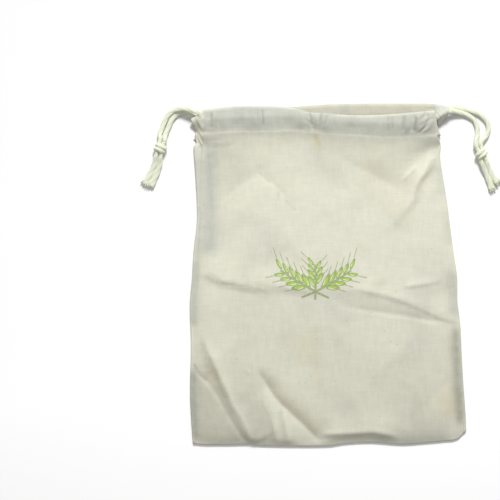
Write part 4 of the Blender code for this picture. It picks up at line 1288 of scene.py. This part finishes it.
# An ear of wheat, in millimetres: distance from kernel to kernel, how far a kernel leans forward for each
# millimetre outwards, the kernels' middle line, their half length outwards and half width along the ear
KERNEL_PITCH = 7.6
KERNEL_LEAN = 1.05
KERNEL_MIDDLE = 4.3
KERNEL_TALL = 4.2
KERNEL_WIDE = 3.6
# Size of the first kernels and the last ones
KERNEL_TAPER = (1.08, 0.72)
AWN_LENGTH = 6.5


def ear_group():
    """An ear of wheat along X, in millimetres, from 0 to its length: lines, kernels and their dark half."""
    tree, n, given, out = new_group(
        "Wheat ear",
        [("Vector", "NodeSocketVector", None), ("Bend", "NodeSocketFloat", 0.0),
         ("First Kernel", "NodeSocketFloat", 24.0), ("Length", "NodeSocketFloat", 66.0)],
        [("Lines", "NodeSocketFloat"), ("Kernels", "NodeSocketFloat"), ("Deep", "NodeSocketFloat")],
    )
    first, length = given.outputs["First Kernel"], given.outputs["Length"]
    x, y = n.place(given.outputs["Vector"])
    off = n.minus(y, n.times(given.outputs["Bend"], n.times(x, x)))
    away = n.unsigned(off)
    half_pitch = n.times(n.math("GREATER_THAN", off, 0.0), KERNEL_PITCH / 2)
    shifted = n.plus(n.minus(x, n.times(away, KERNEL_LEAN)), half_pitch)
    cell = n.times(n.minus(n.math("FRACT", n.over(shifted, KERNEL_PITCH)), 0.5), KERNEL_PITCH)
    root = n.minus(shifted, cell, half_pitch)
    inside = n.between(root, first, length)
    taper = n.range(root, first, length, *KERNEL_TAPER)
    across = n.over(cell, n.times(taper, KERNEL_WIDE))
    outward = n.over(n.minus(away, KERNEL_MIDDLE), n.times(taper, KERNEL_TALL))
    far = n.math("SQRT", n.plus(n.times(across, across), n.times(outward, outward)))
    kernel = n.times(n.range(far, 1.1, 1.0), inside)
    rim = n.times(n.range(far, 0.60, 0.74), n.range(far, 1.16, 1.06), inside)
    dark_half = n.times(n.range(across, -0.35, -0.2), n.range(outward, 0.85, 0.6))
    tip = KERNEL_MIDDLE + KERNEL_TALL
    past = n.times(n.range(away, tip - 0.6, tip), n.range(away, tip + AWN_LENGTH, tip + AWN_LENGTH - 1))
    awn = n.times(n.range(n.unsigned(cell), 0.95, 0.5), past, inside)
    stem = n.times(n.range(away, 1.25, 0.8), n.between(x, 0.0, length))
    lines = n.highest(rim, stem, n.times(awn, 0.8))
    n.give(out, Lines=lines, Kernels=kernel, Deep=n.times(kernel, dark_half))
    return tree


# Ears of the print: place of the stem's foot, slant, size, curve, where the kernels start, length, mirrored
Ear = namedtuple("Ear", "foot slant size bend first length mirrored")
EARS = [
    Ear((-15.0, -22.0), 23.0, 1.12, 0.0020, 19.0, 54.0, False),
    Ear((-15.0, -22.0), 23.0, 1.12, 0.0020, 19.0, 54.0, True),
    Ear((0.0, -24.0), 90.0, 0.98, 0.0006, 15.0, 39.0, False),
]
PRINT_CENTRE = (-13.5, -2.7)
# How far the printed lines waver, in metres, and how much of each ink covers the cloth
PRINT_WAVER = 0.0011
PALE_COVER = 0.75
LINE_COVER = 0.9


def print_group(ear):
    """The printed picture: three ears of wheat whose stems cross."""
    tree, n, given, out = new_group(
        "Wheat print",
        [("Vector", "NodeSocketVector", None), ("Cloth", "NodeSocketColor", None),
         ("Line Colour", "NodeSocketColor", None), ("Pale Colour", "NodeSocketColor", None),
         ("Deep Colour", "NodeSocketColor", None), ("Wear", "NodeSocketFloat", 0.3)],
        [("Color", "NodeSocketColor")],
    )
    centre = tuple(-c * MM for c in PRINT_CENTRE)
    moved = n.add("ShaderNodeMapping", Vector=given.outputs["Vector"], Location=(*centre, 0.0)).outputs[0]
    uneven = n.add("ShaderNodeTexNoise", Vector=moved, Scale=260.0, Detail=1.0).outputs["Color"]
    uneven = n.math("SUBTRACT", uneven, (0.5, 0.5, 0.5), kind="ShaderNodeVectorMath")
    waver = n.math("MULTIPLY", uneven, (PRINT_WAVER,) * 3, kind="ShaderNodeVectorMath")
    wavy = n.math("ADD", moved, waver, kind="ShaderNodeVectorMath")
    lines = kernels = deep = 0.0
    for row in EARS:
        flip = -1 / MM if row.mirrored else 1 / MM
        local = n.add("ShaderNodeMapping", Vector=wavy, Location=(-row.foot[0], -row.foot[1], 0.0),
                      Scale=(flip, 1 / MM, 1.0)).outputs[0]
        turned = n.add("ShaderNodeMapping", Vector=local, Rotation=(0.0, 0.0, -math.radians(row.slant)))
        size = (1 / row.size, 1 / row.size, 1.0)
        sized = n.add("ShaderNodeMapping", Vector=turned.outputs[0], Scale=size).outputs[0]
        shape = n.group(ear, Vector=sized, Bend=row.bend, First_Kernel=row.first, Length=row.length)
        shown = n.minus(1.0, n.highest(kernels, lines))
        lines, kernels, deep = (
            n.highest(before, n.times(shape.outputs[name], shown))
            for before, name in ((lines, "Lines"), (kernels, "Kernels"), (deep, "Deep"))
        )
    printed = n.range(n.noise(moved, 420.0, 4.0, 0.7), 0.36, 0.56)
    kept = n.minus(1.0, n.times(given.outputs["Wear"], n.minus(1.0, printed)))
    colour = given.outputs["Cloth"]
    for mask, cover, ink in ((kernels, PALE_COVER, "Pale"), (deep, 1.0, "Deep"), (lines, LINE_COVER, "Line")):
        colour = n.blend(n.times(mask, kept, cover), colour, given.outputs[f"{ink} Colour"])
    n.give(out, Color=colour)
    return tree


# Yarns round each ply and along a metre of it, and how their fuzz is stretched
YARNS_ROUND_PLY = 6.0
YARNS_A_METRE = 900.0
FUZZ = (9.0, 900.0, 1.0)


def cotton_group():
    """Twisted cotton: UV runs once round each ply, and along the cord in metres."""
    tree, n, given, out = new_group(
        "Twisted cotton",
        [("Vector", "NodeSocketVector", None)],
        [("Groove", "NodeSocketFloat"), ("Yarns", "NodeSocketFloat"), ("Height", "NodeSocketFloat")],
    )
    round_ply, down = n.place(given.outputs["Vector"])
    across = n.minus(n.math("FRACT", n.plus(round_ply, 0.5)), 0.5)
    groove = n.range(n.unsigned(across), 0.34, 0.5)
    slanted = n.plus(n.times(round_ply, YARNS_ROUND_PLY), n.times(down, YARNS_A_METRE))
    yarns = n.unsigned(n.math("SINE", n.times(slanted, math.pi)))
    fuzz = n.noise(given.outputs["Vector"], 1.0, 3.0, 0.7, FUZZ)
    height = n.minus(n.plus(n.times(yarns, 0.5), n.times(fuzz, 0.5)), groove)
    n.give(out, Groove=groove, Yarns=n.times(n.plus(yarns, fuzz), 0.5), Height=height)
    return tree


def group_named(name, maker, *needs):
    return bpy.data.node_groups.get(name) or maker(*needs)


def opaque(colour):
    return (*colour, 1.0)


def new_material(name):
    """An empty material, its nodes and its shader."""
    material = bpy.data.materials.new(name)
    material.use_nodes = True
    n = Nodes(material.node_tree)
    return material, n, material.node_tree.nodes["Principled BSDF"]


def linen_material(name, cloth, picture):
    """Natural linen, with the print where picture is given."""
    found = bpy.data.materials.get(name)
    if found:
        return found
    material, n, shader = new_material(name)
    uv = n.add("ShaderNodeUVMap", {"uv_map": "UVMap"}).outputs[0]
    weave = n.group(group_named("Plain weave", weave_group), Vector=uv, Spacing=cloth.thread_spacing)
    streaks = weave.outputs["Streaks"]
    colour = n.blend(n.range(streaks, 0.36, 0.64), opaque(cloth.shade_colour), opaque(cloth.colour))
    blotch = n.range(n.noise(uv, 26.0, 3.0, 0.6), 0.45, 0.75)
    colour = n.blend(n.times(blotch, 0.35), colour, opaque(cloth.browning_and_shade_colour), "MULTIPLY")
    wash = n.range(n.noise(uv, 14.0, 2.0, 0.5, (1.0, 1.0, 3.0)), 0.48, 0.72)
    colour = n.blend(n.times(wash, 0.4), colour, opaque(cloth.cool_colour), "MULTIPLY")
    # The cloth's own grey, brown and yellow tones, with painted shade mixed into the grey and the brown, and
    # the painted shade of the folds, edges and mouth
    for mark, tone in (
        ("cool", cloth.cool_colour), ("warm", cloth.browning_and_shade_colour), ("yellow", cloth.yellow_colour),
        ("shade", cloth.painted_fold_shade_colour),
    ):
        strength = n.add("ShaderNodeAttribute", {"attribute_name": mark}).outputs["Fac"]
        patchy = n.times(strength, n.range(n.noise(uv, 90.0, 3.0, 0.6), 0.2, 0.7, 0.75, 1.0))
        colour = n.blend(patchy, colour, opaque(tone), "MULTIPLY")
    if picture is not None:
        ear = group_named("Wheat ear", ear_group)
        colour = n.group(
            group_named("Wheat print", print_group, ear), Vector=uv, Cloth=colour,
            Line_Colour=opaque(picture.line_colour), Pale_Colour=opaque(picture.pale_colour),
            Deep_Colour=opaque(picture.deep_colour), Wear=picture.wear,
        ).outputs["Color"]
    colour = n.blend(n.times(weave.outputs["Flecks"], 0.45), colour, opaque(cloth.fleck_colour))
    bump = n.add("ShaderNodeBump", Strength=cloth.relief, Distance=0.0003, Height=weave.outputs["Height"])
    rough = n.range(streaks, 0.3, 0.7, 0.96, 0.86)
    n.give(shader, **{
        "Base Color": colour, "Roughness": rough, "Normal": bump.outputs[0], "Sheen Weight": 0.15,
        "Sheen Roughness": 0.5, "Specular IOR Level": 0.2,
    })
    return material


def cotton_material(cord):
    name = "Twisted cotton cord"
    found = bpy.data.materials.get(name)
    if found:
        return found
    material, n, shader = new_material(name)
    uv = n.add("ShaderNodeUVMap", {"uv_map": "UVMap"}).outputs[0]
    twist = n.group(group_named("Twisted cotton", cotton_group), Vector=uv)
    yarns = twist.outputs["Yarns"]
    colour = n.blend(n.range(yarns, 0.25, 0.75), opaque(cord.shade_colour), opaque(cord.colour))
    # The grooves between the plies are painted darker, as shade
    colour = n.blend(n.times(twist.outputs["Groove"], 0.5), colour, opaque(cord.groove_shade_colour))
    place = n.add("ShaderNodeTexCoord").outputs["Object"]
    stain = n.range(n.noise(place, 55.0, 3.0, 0.6), 0.45, 0.7)
    colour = n.blend(n.times(stain, 0.5), colour, opaque(cord.stain_colour), "MULTIPLY")
    bump = n.add("ShaderNodeBump", Strength=0.55, Distance=0.0004, Height=twist.outputs["Height"])
    n.give(shader, **{
        "Base Color": colour, "Roughness": n.range(yarns, 0.0, 1.0, 0.95, 0.82), "Normal": bump.outputs[0],
        "Sheen Weight": 0.2, "Specular IOR Level": 0.2,
    })
    return material


def colour_property(name, description, default):
    return FloatVectorProperty(
        name=name, description=description, default=default, subtype="COLOR", size=3, min=0.0, max=1.0
    )


def length_property(name, description, default, precision=4):
    return FloatProperty(
        name=name, description=description, default=default, unit="LENGTH", precision=precision
    )


def share_property(name, description, default):
    return FloatProperty(
        name=name, description=description, default=default, subtype="FACTOR", min=0.0, max=1.0
    )


class ClothSettings(bpy.types.PropertyGroup):
    """The linen of both panels"""

    thickness: length_property("Thickness", "Thickness of the linen", 0.0007)
    thread_spacing: length_property("Thread spacing", "Distance between two threads", 0.0006)
    relief: share_property("Relief", "How deep the weave looks", 0.55)
    colour: colour_property("Colour", "Lighter threads", (0.685, 0.675, 0.560))
    shade_colour: colour_property("Shade", "Darker threads", (0.620, 0.612, 0.505))
    # Grey: the cloth's own greyed places, and also painted shade inside the mouth and on the channel's upper
    # wall
    cool_colour: colour_property("Grey", "Greyed places along the sides and seams", (0.775, 0.805, 0.85))
    # Brown: real browned places, and painted shade in and beside the folds and inside the mouth
    browning_and_shade_colour: colour_property("Brown", "Browned places beside the folds", (0.93, 0.885, 0.84))
    yellow_colour: colour_property("Yellow", "Yellowed spots", (0.93, 0.87, 0.68))
    # Painted shade: the colour that darkens the folds' planes and lines, the edges, the mouth and the
    # channel's foot
    painted_fold_shade_colour: colour_property("Folds", "Darker planes and lines of the folds", (0.66, 0.66, 0.64))
    fleck_colour: colour_property("Fleck", "Dark flecks of straw in the threads", (0.40, 0.37, 0.28))


class PrintSettings(bpy.types.PropertyGroup):
    """The green wheat on the front"""

    line_colour: colour_property("Line", "Outlines, stems and awns", (0.27, 0.33, 0.13))
    pale_colour: colour_property("Pale", "Light green of the kernels", (0.66, 0.75, 0.36))
    deep_colour: colour_property("Deep", "Bright green of the kernels", (0.33, 0.52, 0.08))
    wear: share_property("Wear", "How much of the ink the threads have lost", 0.35)


class CordSettings(bpy.types.PropertyGroup):
    """The two drawstrings"""

    diameter: length_property("Diameter", "Diameter of the drawstring", CORD_DIAMETER * MM)
    lay: length_property("Lay", "Length of one whole twist", 0.034)
    colour: colour_property("Colour", "Lighter yarns", (0.71, 0.74, 0.60))
    shade_colour: colour_property("Shade", "Darker yarns", (0.67, 0.70, 0.555))
    # Painted shade in the grooves between the plies
    groove_shade_colour: colour_property("Groove", "Between the plies", (0.56, 0.575, 0.43))
    stain_colour: colour_property("Stain", "Yellowed places", (0.97, 0.95, 0.82))
    yarns: IntProperty(
        name="Frayed yarns", description="Loose yarns at each cut end", default=13, min=3, max=40
    )


class StitchSettings(bpy.types.PropertyGroup):
    """The stitching of the channels"""

    pitch: length_property("Pitch", "From one stitch to the next", 0.0033)
    length: length_property("Length", "Length of a stitch", 0.0026)
    radius: length_property("Thread", "Half the thread's thickness", 0.00028, precision=5)
    colour: colour_property("Colour", "Sewing thread", (0.56, 0.57, 0.49))


class StageSettings(bpy.types.PropertyGroup):
    """The surface, the light and the camera"""

    surface: colour_property("Surface", "The pale surface", (0.99, 0.99, 0.99))
    sky: FloatProperty(
        name="Room light", description="Strength of the light from all round", default=0.47, min=0.0
    )
    lamp: FloatProperty(
        name="Lamp", description="Power of the soft lamp above the mouth", default=32.5, min=0.0, unit="POWER"
    )
    distance: length_property("Camera height", "Camera above the surface", 1.205)
    lens: FloatProperty(
        name="Lens", description="Focal length in millimetres", default=80.0, min=10.0, unit="CAMERA"
    )


class BagSettings(bpy.types.PropertyGroup):
    """Everything that can be set"""

    cloth: PointerProperty(type=ClothSettings)
    picture: PointerProperty(type=PrintSettings)
    cord: PointerProperty(type=CordSettings)
    stitch: PointerProperty(type=StitchSettings)
    stage: PointerProperty(type=StageSettings)


FLOOR_SIZE = 6.0
# The surface is a little darker near the lamp, so that it looks evenly pale: from and to there, up the bag
EVEN_FROM = -0.14
EVEN_TO = 0.30
EVEN_SHADE = 0.75
LAMP_PLACE = (0.08, 1.3, 1.25)
LAMP_SIZE = 0.42
CAMERA_OVER = (-0.0845, 0.027)
SENSOR_WIDTH = 36.0


class MakeStage(bpy.types.Operator):
    """Puts the bag on a pale surface, under soft light, with a camera straight above it"""

    bl_idname = "breadbag.stage"
    bl_label = "Surface, light and camera"

    def execute(self, context):
        settings = context.scene.bread_bag.stage
        bpy.ops.object.select_all(action="DESELECT")
        bpy.ops.mesh.primitive_grid_add(
            x_subdivisions=8, y_subdivisions=8, size=FLOOR_SIZE, location=(0, 0, 0)
        )
        floor = context.active_object
        floor.name = "surface"
        material, n, shader = new_material("Pale surface")
        place = n.add("ShaderNodeTexCoord").outputs["Object"]
        tone = n.range(n.noise(place, 6.0, 3.0), 0.2, 0.8, 0.992, 1.0)
        even = n.add(
            "ShaderNodeMapRange", Value=n.place(place)[1], From_Min=EVEN_FROM, From_Max=EVEN_TO, To_Min=1.0,
            To_Max=EVEN_SHADE,
        ).outputs[0]
        surface = opaque(settings.surface)
        shade = n.add("ShaderNodeHueSaturation", Value=n.times(tone, even), Color=surface).outputs[0]
        n.give(shader, **{"Base Color": shade, "Roughness": 0.9, "Specular IOR Level": 0.1})
        floor.data.materials.append(material)
        world = bpy.data.worlds.new("Soft room light")
        world.use_nodes = True
        background = world.node_tree.nodes["Background"]
        Nodes(world.node_tree).give(background, Color=opaque((1.0, 1.0, 1.0)), Strength=settings.sky)
        context.scene.world = world
        bpy.ops.object.light_add(type="AREA", location=LAMP_PLACE)
        lamp = context.active_object
        lamp.name = "lamp"
        lamp.data.shape = "DISK"
        lamp.data.size = LAMP_SIZE
        lamp.data.energy = settings.lamp
        aim = Vector((0.0, 0.0, 0.0)) - lamp.location
        lamp.rotation_euler = aim.to_track_quat("-Z", "Y").to_euler()
        bpy.ops.object.camera_add(location=(*CAMERA_OVER, settings.distance), rotation=(0.0, 0.0, 0.0))
        camera = context.active_object
        camera.name = "camera"
        camera.data.lens = settings.lens
        camera.data.sensor_width = SENSOR_WIDTH
        context.scene.camera = camera
        context.scene.view_settings.view_transform = "Standard"
        return {"FINISHED"}


class MakeDrawstrings(bpy.types.Operator):
    """Lays the two drawstrings through the channels, with their free ends and frayed tails"""

    bl_idname = "breadbag.drawstrings"
    bl_label = "Drawstrings"

    def execute(self, context):
        settings = context.scene.bread_bag.cord
        material = cotton_material(settings)
        lay = settings.lay / MM
        radius = settings.diameter / MM / 2 * CROWNS
        for seed, (side, cord) in enumerate(DRAWSTRINGS.items()):
            inside, free = drawstring_routes(side, cord)
            route = smooth_route(inside, CHANNEL_STEP)
            radii, wide, high = (np.full(len(route), size) for size in (radius, *CORD_IN_CHANNEL))
            loop = twisted_tube(
                f"{side}_drawstring", route, radii, material, lay=lay, sides=16, flat=(wide, high)
            )
            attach(loop, BODY)
            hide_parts(f"drawstring_{side}")
            for number, (name, points) in enumerate(free.items()):
                route = smooth_route(points, FREE_STEP)
                runs = np.linspace(0.0, 1.0, len(route))
                is_tail = name.startswith("tail")
                radii = radius * (1 + 0.02 * np.sin(runs * 19 + number))
                between_ends = smooth(runs / ROUND_END) * (1.0 if is_tail else smooth((1 - runs) / ROUND_END))
                flare = TAIL_FLARE * runs**1.4 if is_tail else 0.0
                flat = 1 + (cord.spread + flare) * between_ends, 1 - cord.spread * between_ends
                piece = twisted_tube(f"{name}_cord", route, radii, material, lay=lay, flat=flat)
                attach(piece, BODY)
                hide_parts(name)
                if is_tail:
                    fray = frayed_end(
                        f"{name}_fray", route, material, settings.yarns, *cord.fray, seed=10 * seed + number
                    )
                    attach(fray, BODY)
        return {"FINISHED"}


class MakeKnots(bpy.types.Operator):
    """Ties the knot in the two ends of each drawstring"""

    bl_idname = "breadbag.knots"
    bl_label = "Knots"

    def execute(self, context):
        settings = context.scene.bread_bag.cord
        material = cotton_material(settings)
        radius = settings.diameter / MM / 2 * CROWNS
        for knot in (cord.knot for cord in DRAWSTRINGS.values()):
            place = knot_frame(knot)
            slant = Matrix.Rotation(math.radians(knot.slant), 4, "Z")
            tubes = []
            for side in (1, -1):
                ends = KNOT_LENGTH / 2 + CLEARANCE + CORE_OVERLAP
                line = []
                for share in np.linspace(0.0, 1.0, CORE_POINTS):
                    middle = math.sin(math.pi * share)
                    across = side * STRAND_OFFSET * (1 - CORE_PULL * middle)
                    line.append(place @ Vector((mix(-ends, ends, share), across, CORE_RISE * middle)))
                route = smooth_route(line, FREE_STEP)
                radii = np.full(len(route), radius)
                tubes.append(twisted_tube(f"{knot.name}_strand", route, radii, material))
            for n, wrap in enumerate(WRAPS):
                line = []
                for share in np.linspace(0.0, 1.0, WRAP_POINTS):
                    turn = math.pi * mix(wrap.start, wrap.end, share)
                    tucked = 2 - smooth(share / ROUND_END) - smooth((1 - share) / ROUND_END)
                    size = wrap.size * (1 - WRAP_TUCK * tucked)
                    down = wrap.shift + WRAP_ADVANCE * (share - 0.5) + WRAP_WOBBLE * math.sin(turn * 2 + n)
                    line.append(place @ slant @ Vector((
                        down, size * WRAP_ACROSS * math.cos(turn), size * WRAP_UP * math.sin(turn),
                    )))
                route = smooth_route(line, WRAP_STEP)
                route[:, 2] = np.maximum(route[:, 2], radius)
                radii = np.full(len(route), radius * WRAP_THICKER)
                tubes.append(twisted_tube(f"{knot.name}_wrap", route, radii, material, lay=WRAP_LAY))
            piece = joined(f"{knot.name}_tied", tubes)
            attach(piece, BODY)
            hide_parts(knot.name)
        return {"FINISHED"}


# The front channel is greyed where its cloth lies doubled, and greyer up its wall, which is painted shade
# against the lamp's stronger light there: how much at its two edges, the share of its height and the degrees
# of its turn over which that rises to 1, and how much of it is left at its right end
EDGE_GREY = 0.5
GREYER_OVER = {"outer": 0.45, "turn": 60.0}
GREY_RIGHT_END = 0.45
# The grid's point that the weave is laid out from: shares up and across the front
WEAVE_FROM = (0.53, 0.47)


class MakeFront(bpy.types.Operator):
    """Lays the printed front, with its folds, its seams and the gathered channel turned in at the mouth"""

    bl_idname = "breadbag.front"
    bl_label = "Front panel"

    def execute(self, context):
        settings = context.scene.bread_bag
        points = front_grid()
        anchor = (round(BODY_STEPS * WEAVE_FROM[0]), SKIRT_STEPS + round(FRONT_COLUMNS * WEAVE_FROM[1]))
        marks = marks_of(points)
        # Grey of the channel, with painted shade on its upper wall
        channel = np.zeros(points.shape[:2])
        for row, (zone, share) in enumerate(front_rows()):
            if zone in GREYER_OVER:
                channel[row] = mix(EDGE_GREY, 1.0, float(smooth(share / GREYER_OVER[zone])))
            elif zone == "inner":
                channel[row] = EDGE_GREY
        across = points[..., 0]
        right_end = smooth((across - FRONT_RIGHT_AT_MOUTH) / 4)
        channel *= smooth((across - FRONT_LEFT + 1) / 3) * mix(1.0, GREY_RIGHT_END, right_end)
        marks["cool"] = np.maximum(marks["cool"], channel)
        material = linen_material("Printed linen", settings.cloth, settings.picture)
        piece = cloth_piece("front_cloth", points, anchor, marks, settings.cloth.thickness, material)
        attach(piece, BODY)
        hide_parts("front_panel")
        return {"FINISHED"}


# Painted shade on the lining that shows inside the mouth, in the grey, brown and shade tones, and where
# across the bag the tube without it begins
LINING_SHADE = {"cool": 0.45, "warm": 0.5, "shade": 0.38}
LINING_TO = 112.0
LINING_RUN = 5.0


class MakeBack(bpy.types.Operator):
    """Lays the back, whose sides roll over on to the front, with its channel turned in at the mouth"""

    bl_idname = "breadbag.back"
    bl_label = "Back panel"

    def execute(self, context):
        settings = context.scene.bread_bag
        points = back_grid()
        anchor = (BACK_BODY_STEPS // 2, points.shape[1] // 2)
        material = linen_material("Natural linen", settings.cloth, None)
        marks = marks_of(points)
        lining = np.zeros(points.shape[:2])
        lining[BACK_BODY_STEPS + OUTER_STEPS + TURN_STEPS // 2:] = 1.0
        lining *= 1 - smooth((points[..., 0] - LINING_TO) / LINING_RUN)
        # The lining inside the mouth is painted darker, as shade
        for mark, strength in LINING_SHADE.items():
            marks[mark] = np.maximum(marks[mark], strength * lining)
        piece = cloth_piece("back_cloth", points, anchor, marks, settings.cloth.thickness, material)
        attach(piece, BODY)
        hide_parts("back_panel")
        return {"FINISHED"}


# The row of stitches stops short of both ends. A stitch's two ends sink into the cloth, it lies a little out
# of line, and its thread is twisted.
STITCHES_INSIDE = 1.5
STITCH_ENDS_SINK = 0.5
STITCH_MIDDLE_SINK = 0.2
OUT_OF_LINE = 0.12
THREAD_LAY = 1.2


class MakeStitches(bpy.types.Operator):
    """Sews the row of stitches along the foot of the front channel"""

    bl_idname = "breadbag.stitches"
    bl_label = "Channel stitches"

    def execute(self, context):
        settings = context.scene.bread_bag
        pitch, length, radius = (
            size / MM for size in (settings.stitch.pitch, settings.stitch.length, settings.stitch.radius)
        )
        material, n, shader = new_material("Sewing thread")
        place = n.add("ShaderNodeTexCoord").outputs["Object"]
        fibres = n.range(n.noise(place, 2600.0, 2.0), 0.3, 0.7)
        dark = [0.8 * c for c in settings.stitch.colour]
        thread = n.blend(fibres, opaque(dark), opaque(settings.stitch.colour))
        n.give(shader, **{"Base Color": thread, "Roughness": 0.8})
        row = front_row("body", 1.0, np.linspace(0.0, 1.0, 400))
        on_cloth = settings.cloth.thickness / MM / 2 - radius * STITCH_MIDDLE_SINK
        levels = (-STITCH_ENDS_SINK * radius, on_cloth, -STITCH_ENDS_SINK * radius)
        chance = random.Random(5)
        stitches = []
        for x in np.arange(FRONT_LEFT + STITCHES_INSIDE, FRONT_RIGHT_AT_STITCHES - STITCHES_INSIDE, pitch):
            path = []
            for across, level in zip((x - length / 2, x, x + length / 2), levels):
                up, height = (float(np.interp(across, row[:, 0], row[:, axis])) for axis in (1, 2))
                path.append((across, up + OUT_OF_LINE * (chance.random() - 0.5), height + level))
            route = smooth_route(path, length / 4)
            radii = np.full(len(route), radius)
            stitches.append(twisted_tube("stitch", route, radii, material, 2, THREAD_LAY, sides=6))
        piece = joined("channel_stitches", stitches)
        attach(piece, BODY)
        return {"FINISHED"}


class BagPanel(bpy.types.Panel):
    """Lists the bread bag's sizes, colours and pieces"""

    bl_idname = "VIEW3D_PT_bread_bag"
    bl_label = "Linen bread bag"
    bl_space_type = "VIEW_3D"
    bl_region_type = "UI"
    bl_category = "Bread bag"

    def draw(self, context):
        settings = context.scene.bread_bag
        for maker, group in (
            (MakeStage, settings.stage), (MakeDrawstrings, settings.cord), (MakeKnots, None),
            (MakeBack, settings.cloth), (MakeFront, settings.picture), (MakeStitches, settings.stitch),
        ):
            box = self.layout.box()
            for name in group.__annotations__ if group else ():
                box.prop(group, name)
            box.operator(maker.bl_idname)


CLASSES = (
    ClothSettings, PrintSettings, CordSettings, StitchSettings, StageSettings, BagSettings,
    MakeStage, MakeDrawstrings, MakeKnots, MakeFront, MakeBack, MakeStitches, BagPanel,
)


def register():
    for cls in CLASSES:
        bpy.utils.register_class(cls)
    bpy.types.Scene.bread_bag = PointerProperty(type=BagSettings)


def unregister():
    del bpy.types.Scene.bread_bag
    for cls in reversed(CLASSES):
        bpy.utils.unregister_class(cls)


def main():
    register()
    bpy.ops.breadbag.stage()
    bpy.ops.breadbag.drawstrings()
    bpy.ops.breadbag.knots()
    bpy.ops.breadbag.back()
    bpy.ops.breadbag.front()
    bpy.ops.breadbag.stitches()


if __name__ == "__main__":
    main()
